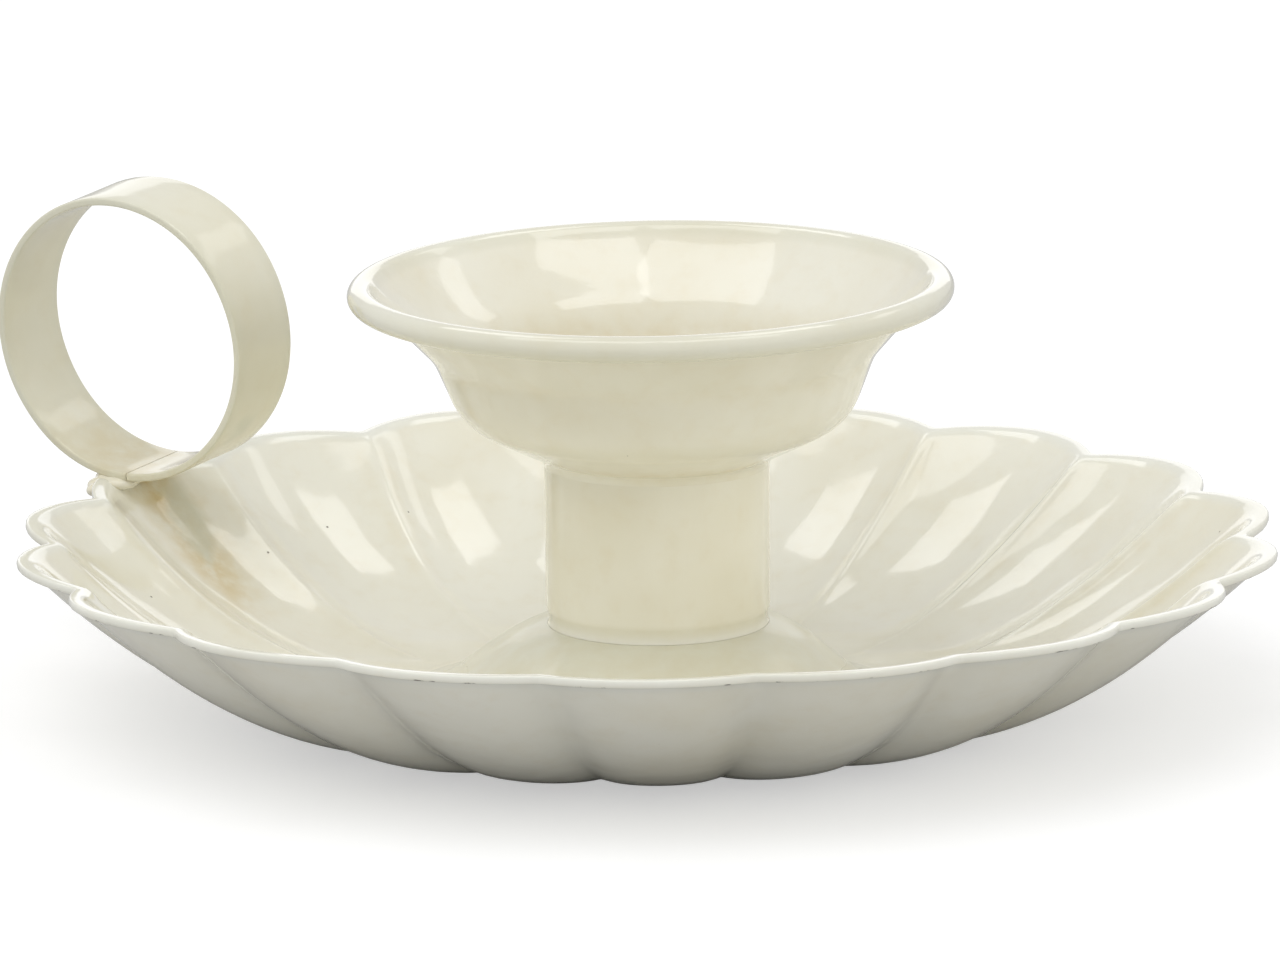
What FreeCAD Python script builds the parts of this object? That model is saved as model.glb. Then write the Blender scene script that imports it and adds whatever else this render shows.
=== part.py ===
"""Chamberstick with finger loop: a fluted drip dish on a raised centre, a candle socket
riveted to it, a spun drip cup on top of the socket, and a strip-metal finger ring brazed
to the dish's rim. All lengths are in millimetres, all angles in degrees.

Frame: the origin is on the candle axis, in the plane that the dish stands on. +Z is up
the candle, -Y is the front of the object, and the finger ring is at the back left.
"""

import FreeCAD, Part
import Sketcher
import math
import os

from FreeCAD import Placement, Rotation, Vector

SIZES = {
    # Dish, a pressed and lobed sheet
    "dish_sheet": 0.9,
    "rim_height": 18.3,          # middle of the lip's edge above the table
    "rim_radius": 63.9,          # lip's edge at a crease between two lobes
    "lobe_count": 18,
    "lobe_depth": 4.1,           # how far a lobe stands out past its creases at the rim
    "lip_width": 2.2,            # flat turned-out edge, measured along the radius
    "lip_rise": 0.8,             # from the top of the wall up to the flat lip
    "wall_power": 1.82,          # steepness of the wall's curve
    "foot_radius": 29.0,         # outer edge of the flat ring that stands on the table
    "foot_width": 1.5,
    "foot_lobe_depth": 3.0,
    "flute_sweep": 2.2,          # turn of each flute between the rim and the foot
    "first_crease": 9.81,        # from the front of the dish towards its right
    "seat_margin": 0.95,         # flat top of the raised centre, past the socket's flat floor
    "seat_height": 9.8,
    "socket_shift": 1.1,         # the raised centre is pressed this far off the rim's centre
    # Candle socket, a drawn tube with a closed floor and a flared mouth
    "tube_radius": 12.05,
    "tube_wall": 0.8,
    "tube_corner": 2.0,
    "tube_height": 17.86,        # from the seat to the underside of the drip cup
    "flare_width": 1.6,
    # Drip cup, spun, with a curled bead
    "cup_sheet": 0.7,
    "cup_clearance": 0.05,
    "cup_floor_slope": 26.0,
    "cup_floor_run": 8.75,       # from the tube to where the floor's and the side's lines meet
    "cup_bend": 7.0,
    "cup_side_run": 2.8,         # from there to the knee under the brim
    "cup_side_rise": 6.9,
    "cup_brim_run": 7.3,         # from the knee to the middle of the bead
    "cup_brim_rise": 6.85,
    "bead_radius": 1.4,
    "curl_turn": 275.0,
    # Braze under the cup
    "cup_braze_leg": 0.7,
    # Rivet through the socket's floor and the raised centre
    "rivet_radius": 1.6,
    "rivet_clearance": 0.05,
    "rivet_head_radius": 3.2,
    "rivet_head_height": 1.2,
    "rivet_tail_radius": 2.6,
    "rivet_tail_height": 1.0,
    # Finger ring, a flat strip bent round
    "ring_radius": 16.0,
    "strip_width": 10.2,
    "strip_thickness": 0.85,
    "strip_round": 0.25,
    "seam_gap": 0.3,
    "ring_inset": 4.9,           # from a lobe's tip in to the ring's centre
    "ring_lift": 1.1,            # ring's lowest point above the middle of the lip
    "ring_lobe": 11,             # lobes counted from the front towards the right
    "ring_twist": 2.5,
    "ring_lean": 4.0,
    # Braze between the ring and the rim
    "root_length": 5.2,
    "root_width": 4.3,
    "root_height": 2.3,
    "root_drop": 1.0,            # middle of the braze below the ring's lowest point
    "root_inset": 4.0,           # from a lobe's tip in to the middle of the braze
}

# Places of the poles of the dish's surface, as shares of the stretch they lie on
LOBE_SHARES = (0.0, 0.06, 0.2, 0.4, 0.6, 0.8, 0.94)
SEAT_SHARES = (0.55, 0.75, 0.9, 1.0)
FLANK_SHARES = (0.12, 0.25, 0.38, 0.5, 0.62, 0.75, 0.88, 1.0)
FOOT_SHARES = (0.2, 0.4, 0.6, 0.8)
WALL_SHARES = (0.08, 0.17, 0.27, 0.37, 0.48, 0.59, 0.7, 0.8, 0.9, 1.0)
LIP_SHARES = ((0.2, 0.5), (0.45, 1.0), (0.7, 1.0))


def make_sheet(doc):
    """The driving dimensions, one row each: name, value."""
    sheet = doc.addObject("Spreadsheet::Sheet", "Sizes")
    for row, (name, value) in enumerate(SIZES.items(), start=1):
        sheet.set(f"A{row}", name)
        sheet.set(f"B{row}", str(value))
        sheet.setAlias(f"B{row}", name)
    doc.recompute()
    return sheet


doc = FreeCAD.newDocument("Chamberstick")
sheet = make_sheet(doc)


def size(name):
    """A driving dimension as a number."""
    return float(sheet.get(name))


def cell(name):
    """A driving dimension as it is written in an expression."""
    return f"Sizes.{name}"


def angle(name):
    """A driving angle as it is written in an expression."""
    return f"(Sizes.{name} * 1deg)"


# Sketches and bodies


def origin_plane(body, role):
    """One of a body's own origin planes."""
    return next(item for item in body.Origin.OriginFeatures if item.Role == role)


def new_body(label):
    """An empty body that carries the sub-part's name."""
    body = doc.addObject("PartDesign::Body", label)
    body.Label = label
    return body


def arc_between(start, end, radius, turn):
    """Arc of less than half a turn from start to end; turn +1 is anticlockwise."""
    chord = end - start
    middle = (start + end) * 0.5
    rise = math.sqrt(radius ** 2 - (chord.Length / 2) ** 2)
    side = Vector(-chord.y, chord.x, 0).normalize()
    centre = middle + side * (rise * turn)
    first, last = (start, end) if turn > 0 else (end, start)
    begin = math.atan2(first.y - centre.y, first.x - centre.x)
    finish = math.atan2(last.y - centre.y, last.x - centre.x)
    circle = Part.Circle(centre, Vector(0, 0, 1), radius)
    return Part.ArcOfCircle(circle, begin, finish if finish > begin else finish + 2 * math.pi)


def make_profile(body, corners, arcs):
    """A closed outline in the body's XZ plane, bound to the sheet.

    corners holds the (across, up) expressions of each corner in order. arcs gives, for the
    number of the corner that a curved side starts at, its radius expression and its turn.
    """
    sketch = body.newObject("Sketcher::SketchObject", body.Label + "_profile")
    sketch.AttachmentSupport = (origin_plane(body, "XZ_Plane"), [""])
    sketch.MapMode = "FlatFace"

    def number(expression):
        value = sketch.evalExpression(expression)
        return float(getattr(value, "Value", value))

    places = [Vector(number(across), number(up), 0) for across, up in corners]
    starts = []
    for here, place in enumerate(places):
        target = places[(here + 1) % len(places)]
        if here in arcs:
            radius, turn = arcs[here]
            side = sketch.addGeometry(arc_between(place, target, number(radius), turn))
            starts.append((side, 1, 2) if turn > 0 else (side, 2, 1))
        else:
            side = sketch.addGeometry(Part.LineSegment(place, target))
            starts.append((side, 1, 2))

    for here, (side, start, end) in enumerate(starts):
        after = starts[(here + 1) % len(starts)]
        sketch.addConstraint(Sketcher.Constraint("Coincident", side, end, after[0], after[1]))
        for kind, part in (("DistanceX", 0), ("DistanceY", 1)):
            value = places[here][part]
            item = sketch.addConstraint(Sketcher.Constraint(kind, -1, 1, side, start, value))
            sketch.setExpression(f"Constraints[{item}]", corners[here][part])
        if here in arcs:
            value = number(arcs[here][0])
            item = sketch.addConstraint(Sketcher.Constraint("Radius", side, value))
            sketch.setExpression(f"Constraints[{item}]", arcs[here][0])
    doc.recompute()
    return sketch


def revolve(body, sketch):
    """Turn an outline once round the candle axis."""
    turned = body.newObject("PartDesign::Revolution", body.Label + "_turned")
    turned.Profile = sketch
    turned.ReferenceAxis = (sketch, ["V_Axis"])
    turned.Angle = 360
    doc.recompute()
    return turned


# Dish


def rim_centre_shift(share):
    """Sideways place of a ring of the dish: 0 at the raised centre, 1 from the foot outwards."""
    return -size("socket_shift") * share


def lobe_swell(share):
    """How far a lobe stands out at a share of its width: 0 at a crease, 1 in the middle."""
    return 4 * share * (1 - share)


def underside(swell):
    """The dish's underside on one meridian in three runs: raised centre, flat foot, wall.

    Each run is a list of stations (radius, height, share of the centre's shift, share of the
    height). swell is 0 at a crease and 1 in the middle of a lobe.
    """
    seat = size("tube_radius") - size("tube_corner") + size("seat_margin")
    seat_under = size("seat_height") - size("dish_sheet")
    foot_inner = size("foot_radius") - size("foot_width")
    centre = [(seat * share, seat_under, 0.0, 0.0) for share in SEAT_SHARES]
    for share in FLANK_SHARES:
        fall = (1 - math.cos(math.pi * share)) / 2
        centre.append((seat + (foot_inner - seat) * share, seat_under * (1 - fall), fall, 0.0))
    foot = [(foot_inner + size("foot_width") * share, 0.0, 1.0, 0.0) for share in FOOT_SHARES]

    wall_radius = size("rim_radius") - size("lip_width")
    lip_under = size("rim_height") - size("dish_sheet") / 2
    wall_height = lip_under - size("lip_rise")
    depth_gain = size("lobe_depth") - size("foot_lobe_depth")
    wall = [(size("foot_radius"), 0.0, 1.0, 0.0)]
    for share in WALL_SHARES:
        depth = (size("foot_lobe_depth") + depth_gain * share) * swell
        radius = size("foot_radius") + (wall_radius - size("foot_radius")) * share + depth
        height = wall_height * share ** size("wall_power")
        wall.append((radius, height, 1.0, height / lip_under))
    wall_top = wall_radius + size("lobe_depth") * swell
    for out, up in LIP_SHARES:
        height = wall_height + size("lip_rise") * up
        wall.append((wall_top + size("lip_width") * out, height, 1.0, height / lip_under))
    return centre, foot, wall


def section(swell):
    """One meridian in two runs: under the raised centre, and from the foot over the lip back."""
    centre, foot, wall = underside(swell)
    below = centre + foot + wall
    sheet_thickness = size("dish_sheet")
    above = []
    for here, (radius, height, shift, rise) in enumerate(below):
        before = below[max(here - 1, 0)]
        after = below[min(here + 1, len(below) - 1)]
        run, climb = after[0] - before[0], after[1] - before[1]
        length = math.hypot(run, climb)
        above.append((radius - sheet_thickness * climb / length,
                      height + sheet_thickness * run / length, shift, rise))
    edge_radius = size("rim_radius") + size("lobe_depth") * swell
    edge_low = size("rim_height") - sheet_thickness / 2
    edge = [(edge_radius - sheet_thickness / 2, edge_low, 1.0, 1.0),
            (edge_radius, edge_low, 1.0, 1.0),
            (edge_radius, edge_low + sheet_thickness, 1.0, 1.0),
            (edge_radius - sheet_thickness / 2, edge_low + sheet_thickness, 1.0, 1.0)]
    return centre, wall + edge + above[::-1]


def place_station(turn, station):
    """A pole of the dish from its bearing at the rim and its station on the meridian."""
    radius, height, shift, rise = station
    bearing = math.radians(turn + size("flute_sweep") * (1 - rise))
    return Vector(rim_centre_shift(shift) + radius * math.sin(bearing),
                  -radius * math.cos(bearing), height)


def make_skin(columns):
    """Smooth face through columns of poles, closed round the dish."""
    around, across = len(columns), len(columns[0])
    skin = Part.BSplineSurface()
    skin.buildFromPolesMultsKnots(
        columns, [1] * (around + 1), [4] + [1] * (across - 4) + [4],
        [float(knot) for knot in range(around + 1)],
        [float(knot) for knot in range(across - 2)],
        True, False, 3, 3)
    return skin.toShape()


def rim_edges(face):
    """The two closed edges of a skin, the lower one first."""
    edges = [edge for edge in face.Edges if edge.isClosed() and not edge.isSeam(face)]
    return sorted(edges, key=lambda edge: edge.BoundBox.ZMax)


def make_dish():
    """The pressed dish: two smooth skins, the flat foot and the faces of the raised centre."""
    count = int(size("lobe_count"))
    runs = ([], [])
    for lobe in range(count):
        for share in LOBE_SHARES:
            turn = size("first_crease") + (lobe + share) * 360 / count
            for columns, stations in zip(runs, section(lobe_swell(share))):
                columns.append([place_station(turn, station) for station in stations])
    skins = [make_skin(columns) for columns in runs]
    (foot_inner, seat_under), (foot_outer, seat_top) = [rim_edges(skin) for skin in skins]
    loops = ([seat_under], [foot_outer, foot_inner], [seat_top])
    flats = [Part.makeFace([Part.Wire([edge]) for edge in loop], "Part::FaceMakerBullseye")
             for loop in loops]
    shell = Part.makeShell(skins + flats)
    shell.sewShape()
    plate = Part.makeSolid(shell)
    if plate.Volume < 0:
        plate.reverse()
    hole_radius = size("rivet_radius") + size("rivet_clearance")
    dish = doc.addObject("Part::Feature", "dish")
    dish.Label = "dish"
    dish.Shape = plate.cut(Part.makeCylinder(hole_radius, 2 * size("seat_height")))
    dish.Placement = Placement()
    return dish


# Candle socket


def make_socket():
    """Drawn tube standing on the raised centre, its mouth flared over the cup's floor."""
    body = new_body("candle_socket")
    outer, wall, corner = cell("tube_radius"), cell("tube_wall"), cell("tube_corner")
    hole = f"({cell('rivet_radius')} + {cell('rivet_clearance')})"
    base = cell("seat_height")
    slope = angle("cup_floor_slope")
    floor_rise = f"({cell('cup_sheet')} / cos({slope}) - {cell('cup_clearance')} * tan({slope}))"
    lap = f"({base} + {cell('tube_height')} + {floor_rise})"
    tip = f"({outer} + {cell('flare_width')})"
    tip_low = f"({lap} + {cell('flare_width')} * tan({slope}))"
    thickness_up = f"({wall} / cos({slope}))"
    mouth = f"({lap} + {thickness_up} - {wall} * tan({slope}))"
    corners = [
        (hole, base),
        (f"{outer} - {corner}", base),
        (outer, f"{base} + {corner}"),
        (outer, lap),
        (tip, tip_low),
        (tip, f"{tip_low} + {thickness_up}"),
        (f"{outer} - {wall}", mouth),
        (f"{outer} - {wall}", f"{base} + {corner}"),
        (f"{outer} - {corner}", f"{base} + {wall}"),
        (hole, f"{base} + {wall}"),
    ]
    arcs = {1: (corner, 1), 7: (f"{corner} - {wall}", -1)}
    revolve(body, make_profile(body, corners, arcs))
    return body


# Drip cup


def make_cup():
    """Spun cup: sloping floor, round side, flared brim and an outward curled bead."""
    body = new_body("drip_cup")
    sheet_thickness = cell("cup_sheet")
    joint = f"({cell('seat_height')} + {cell('tube_height')})"
    hole = f"({cell('tube_radius')} + {cell('cup_clearance')})"
    floor = angle("cup_floor_slope")
    turn_across = f"({cell('tube_radius')} + {cell('cup_floor_run')})"
    turn_up = f"({joint} + ({turn_across} - {hole}) * tan({floor}))"
    side_run, side_rise = cell("cup_side_run"), cell("cup_side_rise")
    side = f"atan2({side_rise}; {side_run})"
    tangent = f"({cell('cup_bend')} * tan(({side} - {floor}) / 2))"
    knee = (f"({turn_across} + {side_run})", f"({turn_up} + {side_rise})")
    brim_run, brim_rise = cell("cup_brim_run"), cell("cup_brim_rise")
    bead_inner = f"({cell('bead_radius')} - {sheet_thickness})"
    bead_across = f"({knee[0]} + {brim_run})"
    bead_up = f"({knee[1]} + {brim_rise})"
    brim_length = f"sqrt({brim_run}^2 + {brim_rise}^2)"
    brim = f"(atan2({brim_rise}; {brim_run}) + asin({bead_inner} / {brim_length}))"

    def shifted(across, up, heading, distance):
        """A corner moved square to a heading, towards the inside of the cup."""
        return (f"{across} - {distance} * sin({heading})", f"{up} + {distance} * cos({heading})")

    def on_bead(radius, share):
        """A point of the bead, at a share of the curl's turn from where the brim joins it."""
        heading = f"({brim} + 90deg - {angle('curl_turn')} * {share})"
        return (f"{bead_across} + {radius} * cos({heading})",
                f"{bead_up} + {radius} * sin({heading})")

    bend_low = (f"({turn_across} - {tangent} * cos({floor}))",
                f"({turn_up} - {tangent} * sin({floor}))")
    bend_high = (f"({turn_across} + {tangent} * cos({side}))",
                 f"({turn_up} + {tangent} * sin({side}))")
    knee_middle = f"(({side} + {brim}) / 2)"
    knee_reach = f"({sheet_thickness} / cos(({side} - {brim}) / 2))"
    corners = [
        (hole, joint),
        bend_low,
        bend_high,
        knee,
        on_bead(bead_inner, 0),
        on_bead(bead_inner, 0.5),
        on_bead(bead_inner, 1),
        on_bead(cell("bead_radius"), 1),
        on_bead(cell("bead_radius"), 0.5),
        on_bead(cell("bead_radius"), 0),
        shifted(*knee, knee_middle, knee_reach),
        shifted(*bend_high, side, sheet_thickness),
        shifted(*bend_low, floor, sheet_thickness),
        (hole, f"{joint} + {sheet_thickness} / cos({floor})"),
    ]
    arcs = {
        1: (cell("cup_bend"), 1),
        4: (bead_inner, -1), 5: (bead_inner, -1),
        7: (cell("bead_radius"), 1), 8: (cell("bead_radius"), 1),
        11: (f"{cell('cup_bend')} - {sheet_thickness}", -1),
    }
    revolve(body, make_profile(body, corners, arcs))
    return body


def make_cup_braze():
    """Fillet of braze in the corner between the tube and the cup's underside."""
    body = new_body("cup_braze")
    joint = f"({cell('seat_height')} + {cell('tube_height')})"
    tube, leg, gap = cell("tube_radius"), cell("cup_braze_leg"), cell("cup_clearance")
    slope = angle("cup_floor_slope")
    corners = [
        (tube, f"{joint} - {leg}"),
        (f"{tube} + {leg}", f"{joint} + ({leg} - {gap}) * tan({slope})"),
        (tube, f"{joint} - {gap} * tan({slope})"),
    ]
    revolve(body, make_profile(body, corners, {}))
    return body


# Rivet


def make_rivet():
    """Round-headed rivet that holds the socket down on the raised centre."""
    body = new_body("socket_rivet")
    shank, head, tail = cell("rivet_radius"), cell("rivet_head_radius"), cell("rivet_tail_radius")
    head_low = f"({cell('seat_height')} + {cell('tube_wall')})"
    tail_top = f"({cell('seat_height')} - {cell('dish_sheet')})"
    head_height, tail_height = cell("rivet_head_height"), cell("rivet_tail_height")
    head_ball = f"(({head}^2 + {head_height}^2) / (2 * {head_height}))"
    tail_ball = f"(({tail}^2 + {tail_height}^2) / (2 * {tail_height}))"
    corners = [
        ("0", f"{tail_top} - {tail_height}"),
        (tail, tail_top),
        (shank, tail_top),
        (shank, head_low),
        (head, head_low),
        ("0", f"{head_low} + {head_height}"),
    ]
    arcs = {0: (tail_ball, 1), 4: (head_ball, 1)}
    revolve(body, make_profile(body, corners, arcs))
    return body


# Finger ring


def ring_bearing():
    """Direction of the lobe that carries the ring, from +X towards +Y, in degrees."""
    lobe = (size("ring_lobe") + 0.5) * 360 / size("lobe_count")
    return size("first_crease") + lobe - 90


def lobe_point(inset, height):
    """A point above or below the ring's lobe, a given way in from the lobe's tip."""
    reach = size("rim_radius") + size("lobe_depth") - size(inset)
    bearing = math.radians(ring_bearing())
    return Vector(rim_centre_shift(1) + reach * math.cos(bearing), reach * math.sin(bearing), height)


def ring_placement():
    """Ring standing on its lobe, turned and leaning a little as it was brazed on."""
    lean = Rotation(Vector(1, 0, 0), -size("ring_lean"))
    turn = Rotation(Vector(0, 0, 1), ring_bearing() - size("ring_twist"))
    height = size("rim_height") + size("ring_lift") + size("ring_radius")
    return Placement(lobe_point("ring_inset", height), turn.multiply(lean))


def make_ring():
    """Flat strip bent into a circle, its two ends meeting at the bottom."""
    body = new_body("finger_ring")
    outer = cell("ring_radius")
    inner = f"({outer} - {cell('strip_thickness')})"
    half_gap = f"({cell('seam_gap')} / 2)"
    corners = []
    for radius, order in ((outer, 1), (inner, -1)):
        foot = f"-sqrt({radius}^2 - {half_gap}^2)"
        run = [(half_gap, foot), (radius, "0"), ("0", radius), (f"-{radius}", "0"),
               (f"-{half_gap}", foot)]
        corners += run[::order]
    arcs = {here: (outer, 1) for here in range(4)}
    arcs.update({here: (inner, -1) for here in range(5, 9)})
    sketch = make_profile(body, corners, arcs)
    strip = body.newObject("PartDesign::Pad", "finger_ring_strip")
    strip.Profile = sketch
    strip.setExpression("Length", cell("strip_width"))
    strip.SideType = "Symmetric"
    doc.recompute()
    edges = [f"Edge{number}" for number, edge in enumerate(strip.Shape.Edges, start=1)
             if isinstance(edge.Curve, Part.Circle)]
    rounded = body.newObject("PartDesign::Fillet", "finger_ring_rounded")
    rounded.Base = (strip, edges)
    rounded.setExpression("Radius", cell("strip_round"))
    body.Placement = ring_placement()
    doc.recompute()
    return body


def make_ring_braze(dish, ring):
    """Lump of braze that fills the space between the ring, the lip and the wall below."""
    height = size("rim_height") + size("ring_lift") - size("root_drop")
    lump = Part.makeSphere(1)
    stretch = FreeCAD.Matrix()
    stretch.scale(size("root_length"), size("root_width"), size("root_height"))
    lump = lump.transformGeometry(stretch)
    lump.Placement = Placement(lobe_point("root_inset", height),
                               Rotation(Vector(0, 0, 1), ring_bearing()))
    inside = Part.makeCylinder(size("ring_radius") - size("strip_thickness") / 2,
                               2 * size("strip_width"), Vector(0, size("strip_width"), 0),
                               Vector(0, -1, 0))
    inside.Placement = ring.Placement.multiply(inside.Placement)
    left = lump.cut([dish.Shape, ring.Shape, inside])
    braze = doc.addObject("Part::Feature", "ring_braze")
    braze.Label = "ring_braze"
    braze.Shape = max(left.Solids, key=lambda solid: solid.Volume)
    return braze


# Whole object


def check(sub_parts):
    """Stop if any object of the document failed or any sub-part has no sound solid."""
    doc.recompute()
    for item in doc.Objects:
        if "Invalid" in item.State or "Error" in item.State:
            raise RuntimeError(f"{item.Label} failed: {item.State}")
    for item in sub_parts:
        shape = item.Shape
        if shape.isNull() or not shape.isValid() or not shape.Solids:
            raise RuntimeError(f"{item.Label} has no valid solid")
        print(f"{item.Label}: {len(shape.Solids)} solid, {shape.Volume:.1f} mm3")


def main():
    dish = make_dish()
    socket = make_socket()
    cup = make_cup()
    cup_braze = make_cup_braze()
    rivet = make_rivet()
    ring = make_ring()
    ring_braze = make_ring_braze(dish, ring)
    sub_parts = [dish, socket, cup, cup_braze, rivet, ring, ring_braze]
    check(sub_parts)
    os.makedirs("parts", exist_ok=True)
    for item in sub_parts:
        item.Shape.exportStep(f"parts/{item.Label}.step")


main()
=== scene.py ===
"""Chamberstick with finger loop: the looks of the lacquered tinware over its fixed frame.

Metres throughout. The front is -Y, +Z is up the candle, and the origin is on the candle
axis in the plane that the dish stands on.
"""

import math

import bmesh
import bpy
import numpy as np
from bpy.props import (FloatProperty, FloatVectorProperty, IntProperty, PointerProperty)
from bpy.types import Operator, Panel, PropertyGroup
from mathutils import Euler, Matrix, Vector, noise


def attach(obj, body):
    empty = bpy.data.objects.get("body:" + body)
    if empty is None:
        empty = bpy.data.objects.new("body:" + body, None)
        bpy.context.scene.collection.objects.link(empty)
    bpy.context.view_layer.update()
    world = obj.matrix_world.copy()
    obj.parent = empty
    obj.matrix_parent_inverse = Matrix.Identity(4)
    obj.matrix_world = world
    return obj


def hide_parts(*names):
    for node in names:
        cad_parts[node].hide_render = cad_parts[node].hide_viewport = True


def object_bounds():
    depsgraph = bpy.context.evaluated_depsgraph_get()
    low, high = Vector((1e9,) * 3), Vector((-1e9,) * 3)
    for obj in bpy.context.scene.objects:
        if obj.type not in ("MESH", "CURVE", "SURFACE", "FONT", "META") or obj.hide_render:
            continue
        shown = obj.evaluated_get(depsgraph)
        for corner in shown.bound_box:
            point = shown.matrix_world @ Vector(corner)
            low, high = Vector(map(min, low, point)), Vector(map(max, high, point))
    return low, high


bl_info = {
    "name": "Chamberstick with finger loop",
    "version": (1, 0, 0),
    "blender": (4, 5, 0),
    "location": "View3D > Sidebar > Chamberstick",
    "description": "Makes a lacquered chamberstick piece by piece over its frame",
    "category": "Object",
}

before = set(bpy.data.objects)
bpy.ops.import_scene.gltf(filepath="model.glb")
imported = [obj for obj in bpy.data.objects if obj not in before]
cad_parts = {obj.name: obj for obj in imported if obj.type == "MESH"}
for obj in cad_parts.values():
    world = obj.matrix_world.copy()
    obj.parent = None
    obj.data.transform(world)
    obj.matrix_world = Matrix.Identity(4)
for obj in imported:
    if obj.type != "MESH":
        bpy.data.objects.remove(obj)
CAD_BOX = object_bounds()
# The floor lies a hair below the dish's foot, so that the two don't share a plane
FLOOR_Z = -0.00005


# Sizes and colours that a user would change


def length(name, millimetres, description):
    """A size in metres, given in millimetres."""
    return FloatProperty(name=name, description=description, default=millimetres / 1000,
                         unit="LENGTH", subtype="DISTANCE", precision=5)


def turn(name, degrees, description):
    """An angle, given in degrees."""
    return FloatProperty(name=name, description=description, default=math.radians(degrees),
                         unit="ROTATION", subtype="ANGLE")


def share(name, value, description):
    """A plain factor."""
    return FloatProperty(name=name, description=description, default=value, subtype="FACTOR",
                         min=0.0)


def tint(name, colour, description):
    """A colour as it would look on a screen, kept in linear values."""
    linear = [channel / 12.92 if channel <= 0.04045 else ((channel + 0.055) / 1.055) ** 2.4
              for channel in colour]
    return FloatVectorProperty(name=name, description=description, default=linear, size=3,
                               subtype="COLOR", min=0.0, max=1.0)


class DishSizes(PropertyGroup):
    sheet: length("Sheet", 0.9, "Thickness of the dish")
    rim_height: length("Rim height", 18.3, "Middle of the lip's edge above the table")
    rim_radius: length("Rim radius", 63.9, "Lip's edge at a crease between two lobes")
    lobes: IntProperty(name="Lobes", description="Lobes round the dish", default=18, min=3)
    lobe_depth: length("Lobe depth", 4.1, "How far a lobe stands out at the rim")
    foot_lobe_depth: length("Foot lobe depth", 3.0, "How far a lobe stands out low on the wall")
    lobe_flatness: share("Lobe flatness", 0.9, "How much flatter the lobes are below the rim")
    lip_width: length("Lip width", 2.2, "Flat turned-out edge")
    lip_rise: length("Lip rise", 0.8, "From the top of the wall up to the flat lip")
    wall_power: share("Wall power", 1.82, "Steepness of the wall's curve")
    foot_radius: length("Foot radius", 29.0, "Outer edge of the ring that stands on the table")
    foot_width: length("Foot width", 1.5, "Width of that ring")
    flute_sweep: turn("Flute sweep", 2.2, "Turn of a flute between the rim and the foot")
    first_crease: turn("First crease", 9.81, "First crease, from the front to the right")
    seat_radius: length("Seat radius", 11.0, "Flat top of the raised centre")
    seat_height: length("Seat height", 9.8, "Top of the raised centre")
    centre_shift: length("Centre shift", 1.1, "Raised centre off the rim's centre")
    rivet_hole: length("Rivet hole", 1.65, "Radius of the hole for the rivet")
    ridge_height: length("Ridge height", 0.40, "Bead of lacquer along each ridge inside")
    ridge_width: length("Ridge width", 0.62, "Half width of that bead")
    fold: length("Soft fold", 0.9, "How much lower the softest ridges are")
    fold_width: length("Fold width", 1.4, "Half width of the softening")
    groove: length("Groove fill", 0.25, "Lacquer in the grooves underneath")
    groove_width: length("Groove width", 1.0, "Half width of that fill")
    tip_lift: length("Tip lift", 0.5, "How much higher the lobes' tips stand than the creases")
    # The lip's cooler white band is a painted highlight
    lip_highlight_band: length("Lip band", 2.6, "Cooler white along the lip's edge")
    sag: length("Sag", 0.05, "How far the rim has settled")
    held: length("Held up", 0.1, "How much less it has settled under the finger ring")
    held_width: length("Held width", 11.0, "Half width of the stretch that is held up")
    tilt: length("Tilt", 0.2, "How much further it has settled on the right")
    unevenness: length("Unevenness", 0.22, "Hand-made waves of the sheet")


class RunSizes(PropertyGroup):
    start: length("Start", 64.0, "From the rim's centre to where the run starts to bend")
    bend_length: length("Bend length", 18.0, "How far in from there it bends")
    bend: length("Bend", 6.2, "How far it bends to the front")
    back: length("Behind", 2.5, "How far behind the lobe's middle it starts")
    width: length("Half width", 3.6, "Half width of the run")
    end: length("End", 46.0, "From the rim's centre to where it ends")
    fade: length("Fade", 8.0, "How far out from its end it fades")
    # The patch is a painted reflection of the ring's underside, greyer than the lacquer
    patch_out: length("Patch", 59.5, "From the rim's centre to the thin patch in it")
    patch_back: length("Patch behind", 2.6, "How far behind the lobe's middle the patch lies")
    patch_length: length("Patch length", 4.6, "Half length of the patch")
    patch_width: length("Patch width", 2.3, "Half width of the patch")
    patch_slant: turn("Patch slant", 142.3, "Slant of the patch, from outwards to the front")


class SocketSizes(PropertyGroup):
    radius: length("Radius", 12.05, "Outside of the tube")
    wall: length("Wall", 0.8, "Sheet of the tube")
    corner: length("Corner", 2.0, "Corner round the tube's foot")
    height: length("Height", 17.86, "From the seat to the underside of the cup")
    flare: length("Flare", 1.6, "Width of the flared mouth over the cup's floor")
    mouth_round: length("Mouth rounding", 0.6, "Rounded corner where the flare starts inside")
    foot_turn: turn("Foot turn", 20.0, "How far round the foot's corner the bare tube shows")
    sink: length("Sink", 0.15, "How far the lacquer at the foot reaches into the seat")
    unevenness: length("Unevenness", 0.07, "Waves of the drawn sheet")


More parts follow.
